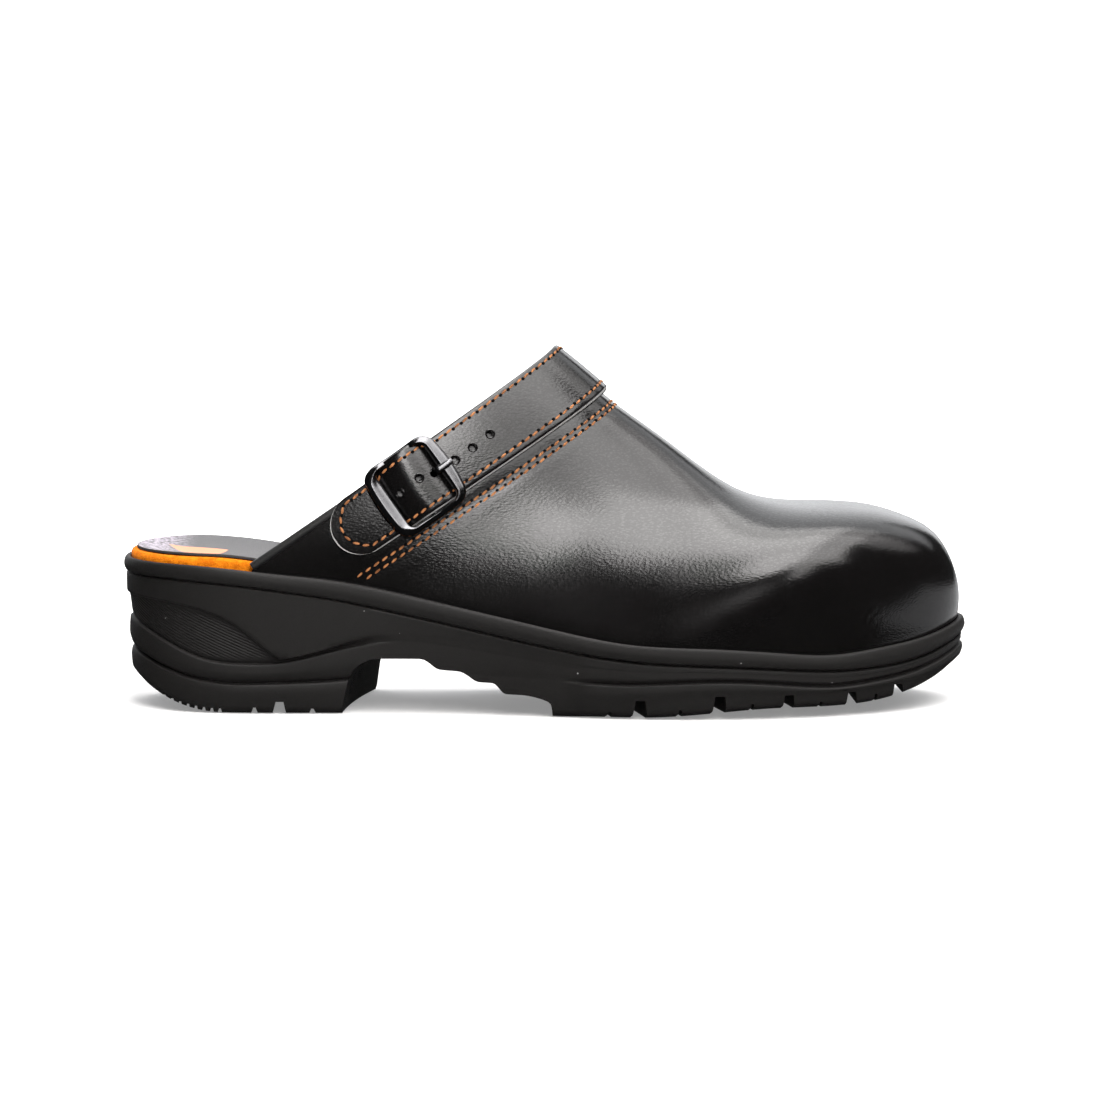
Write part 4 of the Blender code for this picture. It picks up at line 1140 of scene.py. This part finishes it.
# Each profile: the share of the way from the window out, and the share of the height.
BAND_FOOT = (1, 0.2), (0.97, 0.05), (0.88, 0), (0.5, 0), (0.12, 0), (0.02, 0.08)
REAR_BAND = ((0, 0.3), (0.02, 0.5), (0.08, 0.64), (0.2, 0.76), (0.36, 0.88), (0.5, 0.97), (0.6, 1),
             (0.72, 0.95), (0.84, 0.76), (0.94, 0.48), *BAND_FOOT, (0, 0.3))
FRONT_BAND = ((0, 0.2), (0.04, 0.5), (0.1, 0.78), (0.2, 0.95), (0.3, 1), (0.42, 0.97), (0.6, 0.87),
              (0.78, 0.76), (0.92, 0.62), (0.98, 0.45), *BAND_FOOT, (0, 0.2))
round_band = np.linspace(0, len(REAR_BAND) - 1, 49)
rear_band, front_band = (smooth_rows(np.array(b, float), round_band) for b in (REAR_BAND, FRONT_BAND))
front = np.maximum(ease(inner[:, 0], -6, 6), ease(np.abs(inner[:, 1]), 8, 11))[:, None, None]
band = rear_band * (1 - front) + front_band * front
share, rise = band[..., :1], band[..., 1]
band = inner[:, None] + (outer - inner)[:, None] * share
s, w = band[..., 0], band[..., 1]
dip = np.where(w > 0, UPPER_DIP, LOWER_DIP)
lift = FRAME_SEAT - dip * (1 - ease(np.abs(s), 2.0, 8.0)) + FRAME_HEIGHT * rise
ring = buckle_point(s, w, lift)
frame_skin = skin_over(np.concatenate((ring, ring[:1]), 0))
buckle = stitched_in("buckle_frame_cast", frame_skin, [nickel], ["buckle_frame"], 60)
bm = bmesh.new()
bar_spot = buckle_point(0.0, 0.0, BAR_SEAT + BAR_RADIUS)
round_bar(bm, BAR_RADIUS, BAR_LENGTH, pose_at(bar_spot, Vector(way), Vector(-out), Vector(cross)), 24)
combine(buckle, bm, "UNION", None, 60)

# %% Prong
PRONG_WIDE, PRONG_THICK = 1.2, 0.5
over = FRAME_SEAT + FRAME_HEIGHT + GAP + PRONG_THICK
bends = ((1.9, 0.95), (6.2, 0.95), (7.4, 2.2), (8.6, over - 0.4), (9.6, over), (13.8, over - 0.05),
         (14.9, over - 0.3))
at = np.linspace(0, 6, 43)
run_s, run_l = smooth_rows(np.array(bends), at).T
slope = unit(np.stack((np.gradient(run_s), np.gradient(run_l)), -1))
u, v = oval(21, 0.7)
taper = 1 - 0.25 * ease(at, 4.5, 6)
rod = buckle_point(run_s[:, None] - slope[:, 1:] * PRONG_THICK * v, taper[:, None] * PRONG_WIDE * u,
                   run_l[:, None] + slope[:, :1] * PRONG_THICK * v)
rod = capped(rod, rod.mean(1))
stitched_in("buckle_prong_cast", skin_over(rod), [nickel], ["buckle_prong"], 60)

# %% [markdown]
# ## Orange stitching
# Every row is a lockstitch in thick orange thread, about three and a half millimetres to the stitch. Each
# stitch shows as a short bead that dives into the leather at both ends, so a stretched sphere of a few
# dozen faces, half sunk and turned a little off the row, stands for it. A flat, dull black one between two
# stitches is painted shade: it stands for the shade inside the needle's hole.

# %% Thread finish
thread, wires, shader = new_finish("orange_thread", Roughness=0.7, Specular_IOR_Level=0.3)
mm = in_mm(wires)
twist = wires.node("TexWave", {"bands_direction": "DIAGONAL"},
                   {"Vector": mm, "Scale": 0.9, "Distortion": 0.6})
fade = wires.noise(mm, 0.3, 2.0)
feed(wires, shader, Base_Color=fade.span(0.3, 0.7).tint((0.16, 0.056, 0.016), (0.37, 0.145, 0.05)),
     Normal=bump(wires, twist, 0.12, 0.6))
# Painted shade: a dull black that stands for the shade inside each needle hole.
needle_hole_shade, *_ = new_finish("needle_hole_shade", Base_Color=(0.002, 0.002, 0.002, 1), Roughness=0.9,
                             Specular_IOR_Level=0.05)
print("thread finishes:", thread.name, needle_hole_shade.name)


# %% Sewing helpers
PITCH, BEAD, THREAD, SLANT, SUNK = 3.45, 2.6, 0.88, 0.16, 0.06
NEEDLE_HOLE_SHADE = (0.0007, 0.0006, 0.00016, 1)


def sew(bm, pits, points, normals):
    """Stitches along a run of points in mm, each half sunk in the leather, with the needle hole's painted shade
    between.
    """
    total = walked(points)
    for mark in np.arange(PITCH / 2, total[-1] - PITCH / 3, PITCH):
        spot, ahead, back, up = (np.array([np.interp(mark + d, total, src[:, k]) for k in range(3)])
                                 for src, d in ((points, 0), (points, 0.5), (points, -0.5), (normals, 0)))
        ahead, up = Vector(ahead - back).normalized(), Vector(up).normalized()
        side = up.cross(ahead).normalized()
        ahead, side = ahead + side * SLANT, side - ahead * SLANT
        stretch = Matrix.Diagonal((BEAD / 2000, THREAD / 2000, THREAD * 0.42 / 1000, 1))
        pose = pose_at(spot + SUNK * np.array(up), ahead.normalized(), side.normalized(), up)
        bmesh.ops.create_uvsphere(bm, u_segments=8, v_segments=6, radius=1.0, matrix=pose @ stretch)
        # The needle hole's shade is painted on a flat black disc half a stitch ahead.
        hole = Matrix.Translation((PITCH / 2000, 0, -0.00004)) @ Matrix.Diagonal(NEEDLE_HOLE_SHADE)
        bmesh.ops.create_uvsphere(pits, u_segments=8, v_segments=4, radius=1.0, matrix=pose @ hole)


def sew_rows(name, rows):
    """Rows of points with their normals, sewn as one piece of thread and one of painted needle-hole shade."""
    bm, pits = bmesh.new(), bmesh.new()
    for points, normals in rows:
        sew(bm, pits, points, normals)
    stitched_in(f"{name}_stitches", bm, [thread], sharp=80)
    stitched_in(f"{name}_needle_holes", pits, [needle_hole_shade], sharp=80)


print("stitches to 100 mm:", round(100 / PITCH))

# %% Seam rows on the upper
rows = []
sweep = np.linspace(-np.pi / 2 * 0.985, np.pi / 2 * 0.985, 500)
for row in SEAM_ROWS:
    t = turn(seam_x(row, sweep))
    points, normals = rib_turn(t, sweep), rib_normal(t, sweep)
    rows.append((points + leather_relief(t, sweep)[:, None] * normals, normals))
sew_rows("seam", rows)

# %% Rows round the strap
EDGE_ROW, LOW_ROW, TIP_ROW = 1.9, 2.5, 3.6
run_s, nose = np.linspace(TIP + 9, MEDIAL_END - 4, 420), np.linspace(0, 1, 60)
nose_w = EDGE_ROW + (STRAP_WIDTH - EDGE_ROW - LOW_ROW) * nose
nose_s = TIP + TIP_ROW + 5.4 * np.abs(2 * nose - 1) ** 2.2
line_s = np.concatenate((run_s[::-1], nose_s, run_s))
sides = [np.full(len(run_s), w) for w in (EDGE_ROW, STRAP_WIDTH - LOW_ROW)]
line_w = bulge(line_s, np.concatenate((sides[0], nose_w, sides[1])))
points, above = (strap_point(line_s, line_w, strap_lift(line_s) + STRAP_THICK + up) for up in (0.0, 1.0))
sew_rows("strap", [(points, above - points)])
